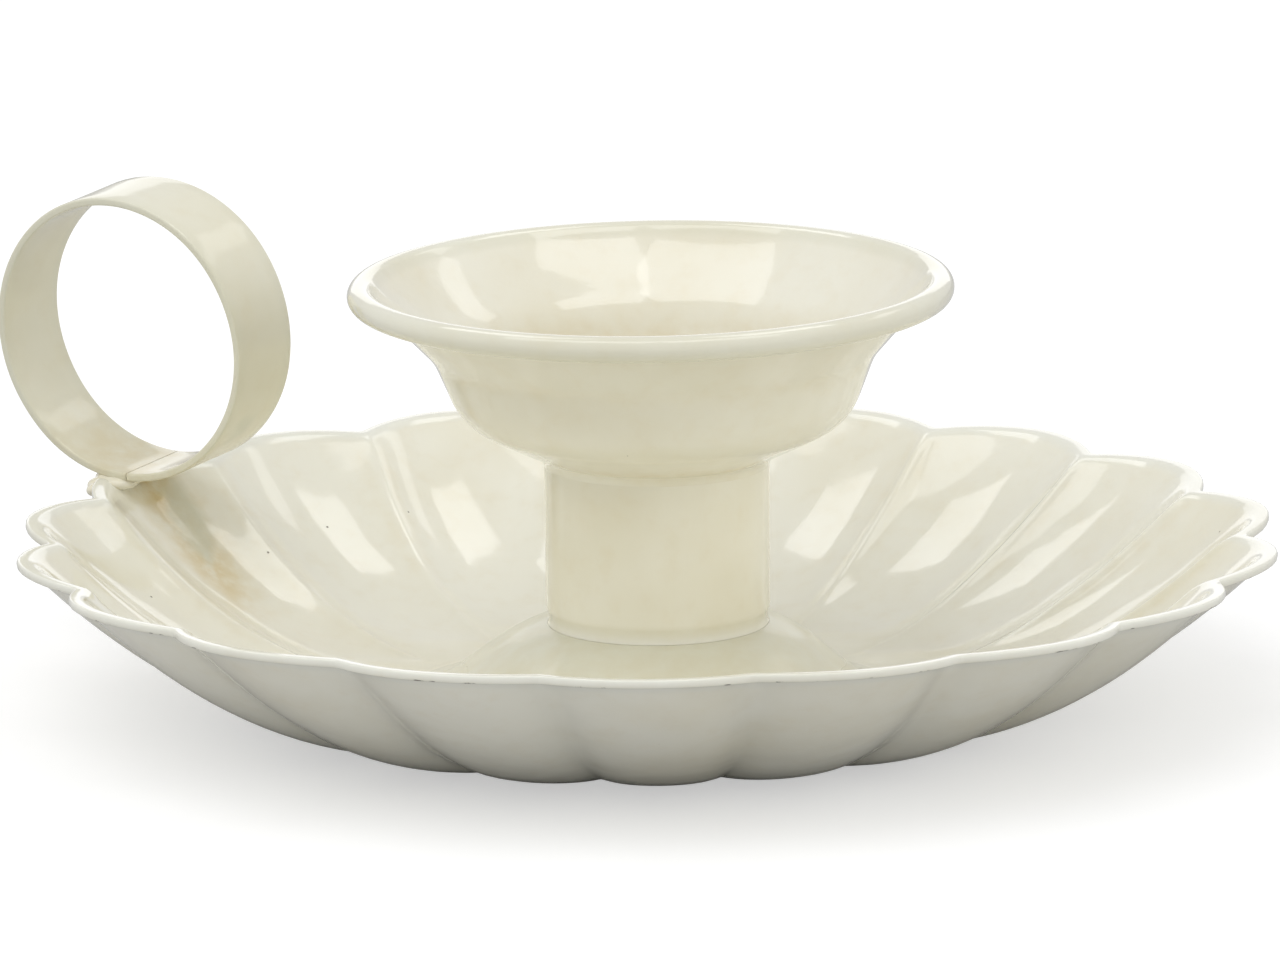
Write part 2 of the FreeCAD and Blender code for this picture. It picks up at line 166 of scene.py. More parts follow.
class CupSizes(PropertyGroup):
    sheet: length("Sheet", 0.7, "Thickness of the cup")
    gap: length("Gap", 0.05, "Between the tube and the cup's floor")
    floor_slope: turn("Floor slope", 26.0, "Slope of the cup's floor")
    floor_run: length("Floor run", 8.75, "From the tube to where floor and side meet")
    bend: length("Bend", 7.0, "Bend between floor and side")
    side_run: length("Side run", 2.8, "From there to the knee, across")
    side_rise: length("Side rise", 6.9, "From there to the knee, up")
    brim_run: length("Brim run", 7.3, "From the knee to the bead, across")
    brim_rise: length("Brim rise", 6.85, "From the knee to the bead, up")
    bead: length("Bead radius", 1.4, "Outside of the curled bead")
    curl: turn("Curl", 275.0, "Turn of the curled bead")
    hollow: length("Brim hollow", 0.25, "How hollow the upper face of the brim is")
    knee_round: length("Knee rounding", 1.1, "Rounded corner between side and brim")
    lean: turn("Lean", 0.5, "Lean of the cup on its tube")
    offset: length("Offset", 0.3, "How far to the left the lean has moved the bead")
    slip: length("Slip", 0.01, "How far to the left it has slipped besides")
    unevenness: length("Unevenness", 0.07, "Waves of the spun sheet")
    braze: length("Braze leg", 0.7, "Fillet between tube and cup")


class RingSizes(PropertyGroup):
    radius: length("Radius", 16.0, "Outside of the ring")
    strip_width: length("Strip width", 10.2, "Width of the strip")
    strip_thickness: length("Strip thickness", 0.85, "Thickness of the strip")
    rounding: length("Rounding", 0.25, "Rounded edges of the strip")
    seam_gap: length("Seam gap", 0.12, "Gap between the strip's two ends")
    inset: length("Inset", 4.9, "From a lobe's tip in to the ring's centre")
    lift: length("Lift", 1.1, "Ring's lowest point above the lip's middle")
    lobe: IntProperty(name="Lobe", description="Lobe that carries the ring", default=11)
    twist: turn("Twist", 2.5, "Turn off the straight line out of the dish")
    lean: turn("Lean", 4.0, "Lean to the front")
    unevenness: length("Unevenness", 0.25, "Hand-bent waves of the strip")


class LacquerLook(PropertyGroup):
    cream: tint("Cream", (0.965, 0.958, 0.905), "Lacquer in its usual thickness")
    warm: tint("Warm cream", (0.925, 0.905, 0.820), "Lacquer where it ran together")
    # The pooled tint also serves as painted shade on the dish's raised centre, inside the cup and
    # inside the ring
    pooled: tint("Pooled lacquer", (0.86, 0.78, 0.58), "Thick yellowed lacquer in corners")
    # The thin tint also serves as painted shade on the dish's raised centre, and as the painted
    # reflection under the ring
    thin: tint("Thin lacquer", (0.83, 0.832, 0.75), "Lacquer that ran thin over an edge")
    # Painted highlight: this cooler white brightens the dish's lip and the tube's foot
    edge: tint("Lip lacquer", (0.920, 0.925, 0.895), "Cooler white on the dish's lip")
    chip: tint("Chip", (0.36, 0.31, 0.26), "Metal and dirt where the lacquer is chipped")
    roughness: share("Roughness", 0.07, "Roughness of the gloss")


class StudioSettings(PropertyGroup):
    elevation: turn("Elevation", 12.74, "Camera above the level")
    roll: turn("Roll", -0.6, "Camera's roll")
    distance: length("Distance", 1287.3, "Camera from the middle of the rim")
    focal: length("Focal length", 339.4, "Lens on a 36 mm wide sensor")
    fill: share("Room light", 0.705, "Even light from all round")
    paper: share("Paper", 0.62, "How white the floor is")
    glow: share("Paper glow", 0.5, "Light added to the floor where the camera sees it")


def settings(context, name):
    return getattr(context.scene, "chamberstick_" + name)


# Meshes


def new_piece(name, points, faces):
    """A mesh object from points and faces, at the origin."""
    mesh = bpy.data.meshes.new(name)
    mesh.from_pydata([tuple(point) for point in points], [], faces)
    mesh.validate()
    mesh.shade_smooth()
    piece = bpy.data.objects.new(name, mesh)
    bpy.context.scene.collection.objects.link(piece)
    return piece


def grid_faces(rows, columns, closed_columns):
    """Quads of a grid that is stored row by row; its last row joins its first."""
    faces = []
    for row in range(rows):
        up = (row + 1) % rows
        for column in range(columns if closed_columns else columns - 1):
            right = (column + 1) % columns
            faces.append((row * columns + column, row * columns + right,
                          up * columns + right, up * columns + column))
    return faces


def point_values(mesh, name, values):
    """Give every point a number, read by the materials and the node trees."""
    layer = mesh.attributes.get(name) or mesh.attributes.new(name, "FLOAT", "POINT")
    values = np.broadcast_to(np.asarray(values, np.float32), len(mesh.vertices))
    layer.data.foreach_set("value", np.ascontiguousarray(values))


def read_values(mesh, name):
    values = np.zeros(len(mesh.vertices), np.float32)
    mesh.attributes[name].data.foreach_get("value", values)
    return values


def mesh_vectors(mesh, kind):
    """The points' places, "co", or their normals, "normal", one row each."""
    vectors = np.zeros(len(mesh.vertices) * 3)
    mesh.vertices.foreach_get(kind, vectors)
    return vectors.reshape(-1, 3)


def mesh_points(mesh):
    return mesh_vectors(mesh, "co")


def set_points(mesh, points):
    mesh.vertices.foreach_set("co", np.ascontiguousarray(points, np.float32).ravel())
    mesh.update()


def keep_in_box(mesh):
    """No point of a piece passes the box of the frame."""
    low, high = (np.array(corner, float) for corner in CAD_BOX)
    set_points(mesh, np.clip(mesh_points(mesh), low, high))


def spin(name, outline, steps=220):
    """A turned piece: an outline of (radius, height) taken once round the candle axis."""
    outline = np.asarray(outline, float)
    turns = np.arange(steps) * 2 * math.pi / steps
    points = np.stack([outline[:, :1] * np.cos(turns), outline[:, :1] * np.sin(turns),
                       np.repeat(outline[:, 1:], steps, axis=1)], axis=-1)
    return new_piece(name, points.reshape(-1, 3), grid_faces(len(outline), steps, True))


def outward(mesh):
    """Merge doubles and point all faces outwards."""
    work = bmesh.new()
    work.from_mesh(mesh)
    bmesh.ops.remove_doubles(work, verts=work.verts, dist=1e-7)
    bmesh.ops.recalc_face_normals(work, faces=work.faces)
    work.to_mesh(mesh)
    work.free()


def finish_piece(piece, material, node):
    """Give a piece its lacquer and its place in the frame."""
    piece.data.materials.clear()
    piece.data.materials.append(material)
    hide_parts(node)
    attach(piece, "root")


def apply_modifiers(piece):
    """Turn a piece with its node tree or other modifiers into a plain mesh."""
    graph = bpy.context.evaluated_depsgraph_get()
    mesh = bpy.data.meshes.new_from_object(piece.evaluated_get(graph), depsgraph=graph)
    piece.modifiers.clear()
    old, piece.data = piece.data, mesh
    mesh.name = piece.name
    bpy.data.meshes.remove(old)


# Node trees


class NodeTree:
    """What the node trees of shapes and of materials are laid out with."""

    def node(self, kind, options=(), **inputs):
        """A new node with its options set and its inputs fed."""
        node = self.tree.nodes.new(kind)
        for name, value in dict(options).items():
            setattr(node, name, value)
        for name, value in inputs.items():
            socket = next(item for item in node.inputs
                          if item.enabled and item.name.replace(" ", "_") == name)
            self.feed(socket, value)
        return node

    def feed(self, socket, value):
        """Link another socket to this one, or give it a fixed value."""
        if isinstance(value, bpy.types.NodeSocket):
            self.tree.links.new(value, socket)
        else:
            socket.default_value = value

    def math(self, operation, first, second=0.0, clamp=False):
        node = self.node("ShaderNodeMath", {"operation": operation, "use_clamp": clamp})
        self.feed(node.inputs[0], first)
        self.feed(node.inputs[1], second)
        return node.outputs[0]


class ShapeTree(NodeTree):
    """A Geometry Nodes tree with named inputs."""

    def __init__(self, name):
        self.tree = bpy.data.node_groups.new(name, "GeometryNodeTree")
        self.tree.interface.new_socket("Geometry", in_out="INPUT",
                                       socket_type="NodeSocketGeometry")
        self.tree.interface.new_socket("Geometry", in_out="OUTPUT",
                                       socket_type="NodeSocketGeometry")
        self.start = self.tree.nodes.new("NodeGroupInput")
        self.values = {}

    def input(self, name, kind, value):
        socket = self.tree.interface.new_socket(name, in_out="INPUT",
                                                socket_type="NodeSocket" + kind)
        self.values[socket.identifier] = value
        return self.start.outputs[name]

    def named(self, name):
        """A number that the points carry."""
        return self.node("GeometryNodeInputNamedAttribute", Name=name).outputs["Attribute"]

    def scale(self, vector, factor):
        node = self.node("ShaderNodeVectorMath", {"operation": "SCALE"})
        self.feed(node.inputs[0], vector)
        self.feed(node.inputs["Scale"], factor)
        return node.outputs[0]

    def end(self, geometry, material):
        realized = self.node("GeometryNodeRealizeInstances", Geometry=geometry)
        dressed = self.node("GeometryNodeSetMaterial", Geometry=realized.outputs[0],
                            Material=material)
        finish = self.tree.nodes.new("NodeGroupOutput")
        self.tree.links.new(dressed.outputs[0], finish.inputs[0])

    def apply(self, piece):
        modifier = piece.modifiers.new(self.tree.name, "NODES")
        modifier.node_group = self.tree
        for identifier, value in self.values.items():
            modifier[identifier] = value
        apply_modifiers(piece)


# Lacquer


class Surface(NodeTree):
    """The nodes of one material."""

    def __init__(self, name):
        self.material = bpy.data.materials.new(name)
        self.material.use_nodes = True
        self.tree = self.material.node_tree
        self.shader = self.tree.nodes["Principled BSDF"]
        self.place = self.tree.nodes.new("ShaderNodeTexCoord").outputs["Object"]

    def cloud(self, scale, detail=3.0, stretch=(1, 1, 1), shift=(0, 0, 0)):
        """Soft noise from 0 to 1; scale is in features per metre."""
        place = self.node("ShaderNodeMapping", Vector=self.place, Scale=stretch,
                          Location=shift).outputs[0]
        return self.node("ShaderNodeTexNoise", Vector=place, Scale=scale, Detail=detail,
                         Roughness=0.55).outputs["Fac"]

    def step(self, value, low, high):
        """0 below low, 1 above high, smooth between them."""
        node = self.node("ShaderNodeMapRange", {"interpolation_type": "SMOOTHSTEP"},
                         Value=value, From_Min=low, From_Max=high)
        return node.outputs[0]

    def mix(self, amount, first, second):
        node = self.node("ShaderNodeMix", {"data_type": "RGBA"})
        self.feed(node.inputs[0], amount)
        for socket, value in zip([item for item in node.inputs if item.type == "RGBA"],
                                 (first, second)):
            self.feed(socket, value if isinstance(value, bpy.types.NodeSocket)
                      else (*value, 1.0))
        return next(item for item in node.outputs if item.type == "RGBA")

    def value(self, name):
        return self.node("ShaderNodeAttribute", {"attribute_name": name}).outputs["Fac"]

    def specks(self, scale, size, rarity):
        """Round specks: cells of a pattern, of which only the rarest carry one."""
        cells = self.node("ShaderNodeTexVoronoi", Vector=self.place, Scale=scale)
        near = self.step(cells.outputs["Distance"], size, size * 0.55)
        parts = self.node("ShaderNodeSeparateColor", Color=cells.outputs["Color"])
        chosen = self.step(parts.outputs[0], rarity, rarity + 0.002)
        return self.math("MULTIPLY", near, chosen)


def make_lacquer(name, look, warmth=0.35, streaks=0.0, coat=0.5, waviness=1.0, shift=(0, 0, 0)):
    """Glossy cream lacquer, dipped: thin on edges, pooled in corners, a little worn; the pooled
    and thin tints also carry painted shade, and the lip's tint a painted highlight, where the
    pieces' point values ask for them.
    """
    paint = Surface(name)
    broad = paint.cloud(38, 3, shift=shift)
    fine = paint.cloud(420, 4, shift=shift)
    warm = paint.math("ADD", paint.step(broad, 0.3, 0.75), warmth - 0.5, clamp=True)
    if streaks:
        runs = paint.cloud(900, 2, stretch=(1, 1, 0.03), shift=shift)
        warm = paint.math("ADD", warm, paint.math("MULTIPLY", runs, streaks), clamp=True)
    colour = paint.mix(warm, look.cream, look.warm)
    # Real pooled lacquer, and painted shade where the pieces ask for it
    pool = paint.math("MULTIPLY", paint.value("pool"),
                      paint.step(fine, 0.1, 0.7), clamp=True)
    colour = paint.mix(pool, colour, look.pooled)
    mottle = paint.math("MULTIPLY", paint.step(fine, 0.45, 0.8), 0.10)
    colour = paint.mix(mottle, colour, look.pooled)
    # Real thin lacquer on edges, and painted shade and a painted reflection where the pieces ask
    # for them
    thin = paint.math("MULTIPLY", paint.value("thin"), 0.55)
    colour = paint.mix(thin, colour, look.thin)
    # Painted highlight: the cooler white of the lip's band and of the tube's foot
    colour = paint.mix(paint.math("MULTIPLY", paint.value("lip"), 0.4), colour, look.edge)
    dark = paint.specks(330, 0.055, 0.935)
    brown = paint.specks(150, 0.035, 0.90)
    chipped = paint.step(paint.math("MULTIPLY", paint.value("wear"),
                                    paint.cloud(520, 5, shift=shift)), 0.56, 0.62)
    spots = paint.math("MAXIMUM", chipped, paint.math("MAXIMUM", dark, brown))
    colour = paint.mix(paint.math("MULTIPLY", spots, 0.8), colour, look.chip)
    paint.feed(paint.shader.inputs["Base Color"], colour)
    gloss = paint.math("ADD", look.roughness, paint.math("MULTIPLY", paint.cloud(90, 2), 0.06))
    gloss = paint.math("ADD", gloss, paint.math("MULTIPLY", spots, 0.4))
    gloss = paint.math("ADD", gloss, paint.math("MULTIPLY", paint.value("flank"), 0.25))
    paint.feed(paint.shader.inputs["Roughness"], gloss)
    paint.shader.inputs["IOR"].default_value = 1.5
    paint.shader.inputs["Coat Weight"].default_value = coat
    paint.shader.inputs["Coat Roughness"].default_value = 0.02
    waves = paint.node("ShaderNodeBump", Height=paint.cloud(110, 1.5, shift=shift),
                       Distance=0.00016 * waviness, Strength=1.0)
    peel = paint.node("ShaderNodeBump", Height=paint.cloud(1100, 2, shift=shift),
                      Distance=0.0000045, Strength=1.0, Normal=waves.outputs[0])
    pits = paint.node("ShaderNodeBump", {"invert": True}, Height=spots, Distance=0.00005,
                      Strength=1.0, Normal=peel.outputs[0])
    paint.feed(paint.shader.inputs["Normal"], pits.outputs[0])
    paint.feed(paint.shader.inputs["Coat Normal"], pits.outputs[0])
    return paint.material


# Dish

# Poles of the sheet's spline surface, as in the frame: across a lobe, then out along the seat,
# the flank, the foot and the wall, and out and up along the lip
LOBE_SHARES = (0.0, 0.06, 0.2, 0.4, 0.6, 0.8, 0.94)
SEAT_SHARES = (0.55, 0.75, 0.9, 1.0)
FLANK_SHARES = (0.12, 0.25, 0.38, 0.5, 0.62, 0.75, 0.88, 1.0)
FOOT_SHARES = (0.2, 0.4, 0.6, 0.8)
WALL_SHARES = (0.08, 0.17, 0.27, 0.37, 0.48, 0.59, 0.7, 0.8, 0.9, 1.0)
LIP_SHARES = ((0.2, 0.5), (0.45, 1.0), (0.7, 1.0))
# Columns of the mesh from a crease to the lobe's middle, counted in poles
HALF_LOBE = (0.0, 0.12, 0.24, 0.36, 0.48, 0.62, 0.78, 1.0, 1.25, 1.55, 1.9, 2.3, 2.7, 3.1, 3.5)
# Rows of the mesh under the raised centre, under the wall, round the lip and on top
ROWS = (22, 24, 46, 66)
# Poles from the top of the wall round the lip; of these, where its upper side begins, and how
# many it takes to begin
LIP_POLES, UPPER_START, UPPER_SPAN = 9, 3.5, 3
# Beads on the ridges: shares of the rim's height where they start, how much higher they are
# full and how far below the rim they fade; their share of the full height in the middle, how
# much more to the right, and how much by chance
RIDGE_START, RIDGE_FULL, RIDGE_FADE = 0.06, 0.3, 0.07
RIDGE_MIDDLE, RIDGE_RIGHT, RIDGE_CHANCE = 0.15, 0.6, 0.5
# Thicker lacquer beside a bead: its distance and half width, in half widths of the bead
BESIDE_SHARES = (2.2, 1.3)
# Worn line on the lip, in from the tip, up from the lower edge, and its reach; then how softly the
# lip's painted highlight, a whiter band, ends
WORN_IN, WORN_UP, WORN_REACH, LIP_HIGHLIGHT_SOFTNESS = 0.0001, 0.00012, 0.00028, 0.0006
# How much lacquer has pooled beside the beads, how much darker tint lies on the worn line, and how
# much painted shade lies on the raised centre's flank
POOL_BESIDE, FLANK_SHADE, POOL_WORN = 0.12, 0.3, 0.15
# Run of lacquer under the ring: how late it bends; then how strong the painted reflection in its
# patch is, how far the patch reaches in its own half sizes, and how sharply it ends
RUN_CURVE, PATCH_SHADE, PATCH_REACH, PATCH_SHARPNESS = 1.3, 1.25, 1.05, 9.0


def lobe_swell(sizes, across, up):
    """How far a lobe stands out: round at the rim, flatter between its creases below it."""
    power = 2 + sizes.lobe_flatness * (1 - up ** 4)
    return 1 - abs(2 * across - 1) ** power


def meridian(sizes, across):
    """One meridian of the sheet in two runs of (radius, height, shift share, height share)."""
    seat_under = sizes.seat_height - sizes.sheet
    foot_inner = sizes.foot_radius - sizes.foot_width
    centre = [(sizes.seat_radius * part, seat_under, 0.0, 0.0) for part in SEAT_SHARES]
    for part in FLANK_SHARES:
        fall = (1 - math.cos(math.pi * part)) / 2
        centre.append((sizes.seat_radius + (foot_inner - sizes.seat_radius) * part,
                       seat_under * (1 - fall), fall, 0.0))
    foot = [(foot_inner + sizes.foot_width * part, 0.0, 1.0, 0.0) for part in FOOT_SHARES]
    wall_radius = sizes.rim_radius - sizes.lip_width
    lip_under = sizes.rim_height - sizes.sheet / 2
    wall_height = lip_under - sizes.lip_rise
    wall = [(sizes.foot_radius, 0.0, 1.0, 0.0)]
    for part in WALL_SHARES:
        depth = sizes.foot_lobe_depth + (sizes.lobe_depth - sizes.foot_lobe_depth) * part
        depth *= lobe_swell(sizes, across, part)
        radius = sizes.foot_radius + (wall_radius - sizes.foot_radius) * part + depth
        height = wall_height * part ** sizes.wall_power
        wall.append((radius, height, 1.0, height / lip_under))
    tip = sizes.lobe_depth * lobe_swell(sizes, across, 1.0)
    wall_top = wall_radius + tip
    for out, up in LIP_SHARES:
        height = wall_height + sizes.lip_rise * up
        wall.append((wall_top + sizes.lip_width * out, height, 1.0, height / lip_under))
    below = centre + foot + wall
    above = []
    for here, (radius, height, shift, rise) in enumerate(below):
        before, after = below[max(here - 1, 0)], below[min(here + 1, len(below) - 1)]
        run, climb = after[0] - before[0], after[1] - before[1]
        span = math.hypot(run, climb)
        above.append((radius - sizes.sheet * climb / span,
                      height + sizes.sheet * run / span, shift, rise))
    edge_radius = sizes.rim_radius + tip
    edge_low = sizes.rim_height - sizes.sheet / 2
    edge = [(edge_radius - sizes.sheet / 2, edge_low, 1.0, 1.0),
            (edge_radius, edge_low, 1.0, 1.0),
            (edge_radius, edge_low + sizes.sheet, 1.0, 1.0),
            (edge_radius - sizes.sheet / 2, edge_low + sizes.sheet, 1.0, 1.0)]
    return centre, wall + edge + above[::-1]


def open_weights(count, places):
    """Weights of an open, end-clamped cubic spline's poles at each place."""
    knots = [0.0] * 3 + list(range(count - 2)) + [float(count - 3)] * 3
    weights = np.zeros((len(places), count))
    for row, place in enumerate(places):
        place = min(place, count - 3 - 1e-9)
        basis = [1.0 if knots[i] <= place < knots[i + 1] else 0.0 for i in range(len(knots) - 1)]
        for degree in (1, 2, 3):
            fresh = []
            for i in range(len(basis) - 1):
                left, right = knots[i + degree] - knots[i], knots[i + degree + 1] - knots[i + 1]
                total = basis[i] * (place - knots[i]) / left if left else 0.0
                if right:
                    total += basis[i + 1] * (knots[i + degree + 1] - place) / right
                fresh.append(total)
            basis = fresh
        weights[row] = basis[:count]
    return weights


def round_weights(places, first, count):
    """Weights of a closed cubic spline's poles, numbered from first, at each place."""
    weights = np.zeros((len(places), count))
    for row, place in enumerate(places):
        start = math.floor(place)
        part = place - start
        blend = ((1 - part) ** 3, 3 * part ** 3 - 6 * part ** 2 + 4,
                 -3 * part ** 3 + 3 * part ** 2 + 3 * part + 1, part ** 3)
        for offset, weight in enumerate(blend):
            weights[row, start - 1 + offset - first] += weight / 6
    return weights


def lobe_patch(sizes):
    """One lobe of the dish as a grid that closes round the sheet.

    Returns the points (rows round the section, columns across the lobe) with, for each
    row, the share of the centre's shift and of the height, and the side of the sheet.
    """
    shares = len(LOBE_SHARES)
    first, count = -1, shares + 4
    pitch = 2 * math.pi / sizes.lobes
    runs = ([], [])
    for number in range(first, first + count):
        lobe, part = divmod(number, shares)
        bearing = sizes.first_crease + (lobe + LOBE_SHARES[part]) * pitch
        for columns, stations in zip(runs, meridian(sizes, LOBE_SHARES[part])):
            columns.append([(radius * math.sin(bearing + sizes.flute_sweep * (1 - rise)),
                             -radius * math.cos(bearing + sizes.flute_sweep * (1 - rise)),
                             height, shift, rise) for radius, height, shift, rise in stations])
    across = list(HALF_LOBE) + [shares - place for place in HALF_LOBE[-2::-1]]
    around = round_weights(across, first, count)
    lip = len(WALL_SHARES) + 1
    ends = [len(run[0]) - 3 for run in runs]
    upper = lip + LIP_POLES
    places = (np.linspace(0, ends[0], ROWS[0]),
              np.concatenate([np.linspace(0, lip, ROWS[1])[:-1],
                              np.linspace(lip, upper, ROWS[2])[:-1],
                              np.linspace(upper, ends[1], ROWS[3])]))
    rows = []
    for run, where in zip(runs, places):
        poles = np.array(run)
        grid = np.einsum("vj,uk,kjc->vuc", open_weights(poles.shape[1], where), around, poles)
        rows.append(grid)
    side = np.concatenate([np.zeros(len(places[0])),
                           np.clip((places[1] - lip - UPPER_START) / UPPER_SPAN, 0, 1)])
    # The hole for the rivet closes the section between the two faces of the raised centre
    hole = []
    for source in (rows[1][-1], rows[0][0]):
        ring = source.copy()
        ring[:, :2] *= (sizes.rivet_hole / np.hypot(ring[:, 0], ring[:, 1]))[:, None]
        hole.append(ring[None])
    grid = np.concatenate([hole[1], rows[0], rows[1], hole[0]])
    side = np.concatenate([[0.0], side, [1.0]])
    return grid, side


def make_dish_tree(sizes, material):
    """Repeats the lobe round the dish, sets the rim off centre and lets the sheet be uneven."""
    shape = ShapeTree("Lobes round the dish")
    lobes = shape.input("Lobes", "Int", sizes.lobes)
    shift = shape.input("Centre shift", "Float", sizes.centre_shift)
    sag = shape.input("Sag", "Float", sizes.sag)
    tilt = shape.input("Tilt", "Float", sizes.tilt)
    uneven = shape.input("Unevenness", "Float", sizes.unevenness)
    seed = shape.input("Seed", "Float", 3.7)
    spots = shape.node("GeometryNodePoints", Count=lobes)
    number = shape.node("GeometryNodeInputIndex").outputs[0]
    turned = shape.math("MULTIPLY", number, shape.math("DIVIDE", 2 * math.pi, lobes))
    spin_by = shape.node("ShaderNodeCombineXYZ", Z=turned)
    copies = shape.node("GeometryNodeInstanceOnPoints", Points=spots.outputs[0],
                        Instance=shape.start.outputs["Geometry"],
                        Rotation=spin_by.outputs[0])
    whole = shape.node("GeometryNodeRealizeInstances", Geometry=copies.outputs[0])
    joined = shape.node("GeometryNodeMergeByDistance", Geometry=whole.outputs[0],
                        Distance=2e-6)
    centre, rise = shape.named("centre"), shape.named("rise")
    place = shape.node("GeometryNodeInputPosition").outputs[0]
    parts = shape.node("ShaderNodeSeparateXYZ", Vector=place)
    waves = shape.node("ShaderNodeTexNoise", {"noise_dimensions": "4D"}, Vector=place, W=seed,
                       Scale=26.0, Detail=1.0)
    wave = shape.node("FunctionNodeSeparateColor", Color=waves.outputs["Color"])
    weight = shape.math("MULTIPLY", rise, uneven)
    flat = shape.math("SQRT", shape.math("ADD", shape.math("POWER", parts.outputs[0], 2.0),
                                         shape.math("POWER", parts.outputs[1], 2.0)))
    inwards = shape.math("DIVIDE", shape.math("MULTIPLY", weight, wave.outputs[0]), flat)
    right = shape.math("DIVIDE", parts.outputs[0], flat)
    settled = shape.math("ADD", shape.math("MULTIPLY", right, tilt), sag)
    drop = shape.math("ADD", shape.math("MULTIPLY", settled, rise),
                      shape.math("MULTIPLY", weight, wave.outputs[1]))
    shifted = shape.math("MULTIPLY", centre, shift)
    back = shape.node(
        "ShaderNodeCombineXYZ",
        X=shape.math("ADD", shape.math("MULTIPLY", parts.outputs[0], inwards), shifted),
        Y=shape.math("MULTIPLY", parts.outputs[1], inwards), Z=drop)
    # Up from the sheet: a bead along each ridge on the right, and less than nothing on the left,
    # where the fold itself is softer; the grooves underneath are filled a little
    upwards = shape.node("GeometryNodeInputNormal").outputs[0]
    lean = shape.node("ShaderNodeSeparateXYZ", Vector=upwards).outputs[2]
    ridge, fold, fill = (shape.named(name) for name in ("ridge", "fold", "fill"))
    chance = shape.math("MULTIPLY", shape.math("SUBTRACT", wave.outputs[2], 0.5), RIDGE_CHANCE)
    thick = shape.math("ADD", shape.math("MULTIPLY", right, RIDGE_RIGHT), chance)
    thick = shape.math("ADD", thick, RIDGE_MIDDLE)
    height = shape.math("ADD", shape.math("MULTIPLY", ridge, shape.math("MAXIMUM", thick, 0.0)),
                        shape.math("MULTIPLY", fold, shape.math("MINIMUM", thick, 0.0)))
    height = shape.math("MULTIPLY", shape.math("SUBTRACT", height, fill), shape.math("SIGN", lean))
    beaded = shape.node("GeometryNodeSetPosition", Geometry=joined.outputs[0],
                        Offset=shape.scale(upwards, height))
    moved = shape.node("GeometryNodeSetPosition", Geometry=beaded.outputs[0],
                       Offset=shape.scale(back.outputs[0], -1.0))
    shape.end(moved.outputs[0], material)
    return shape


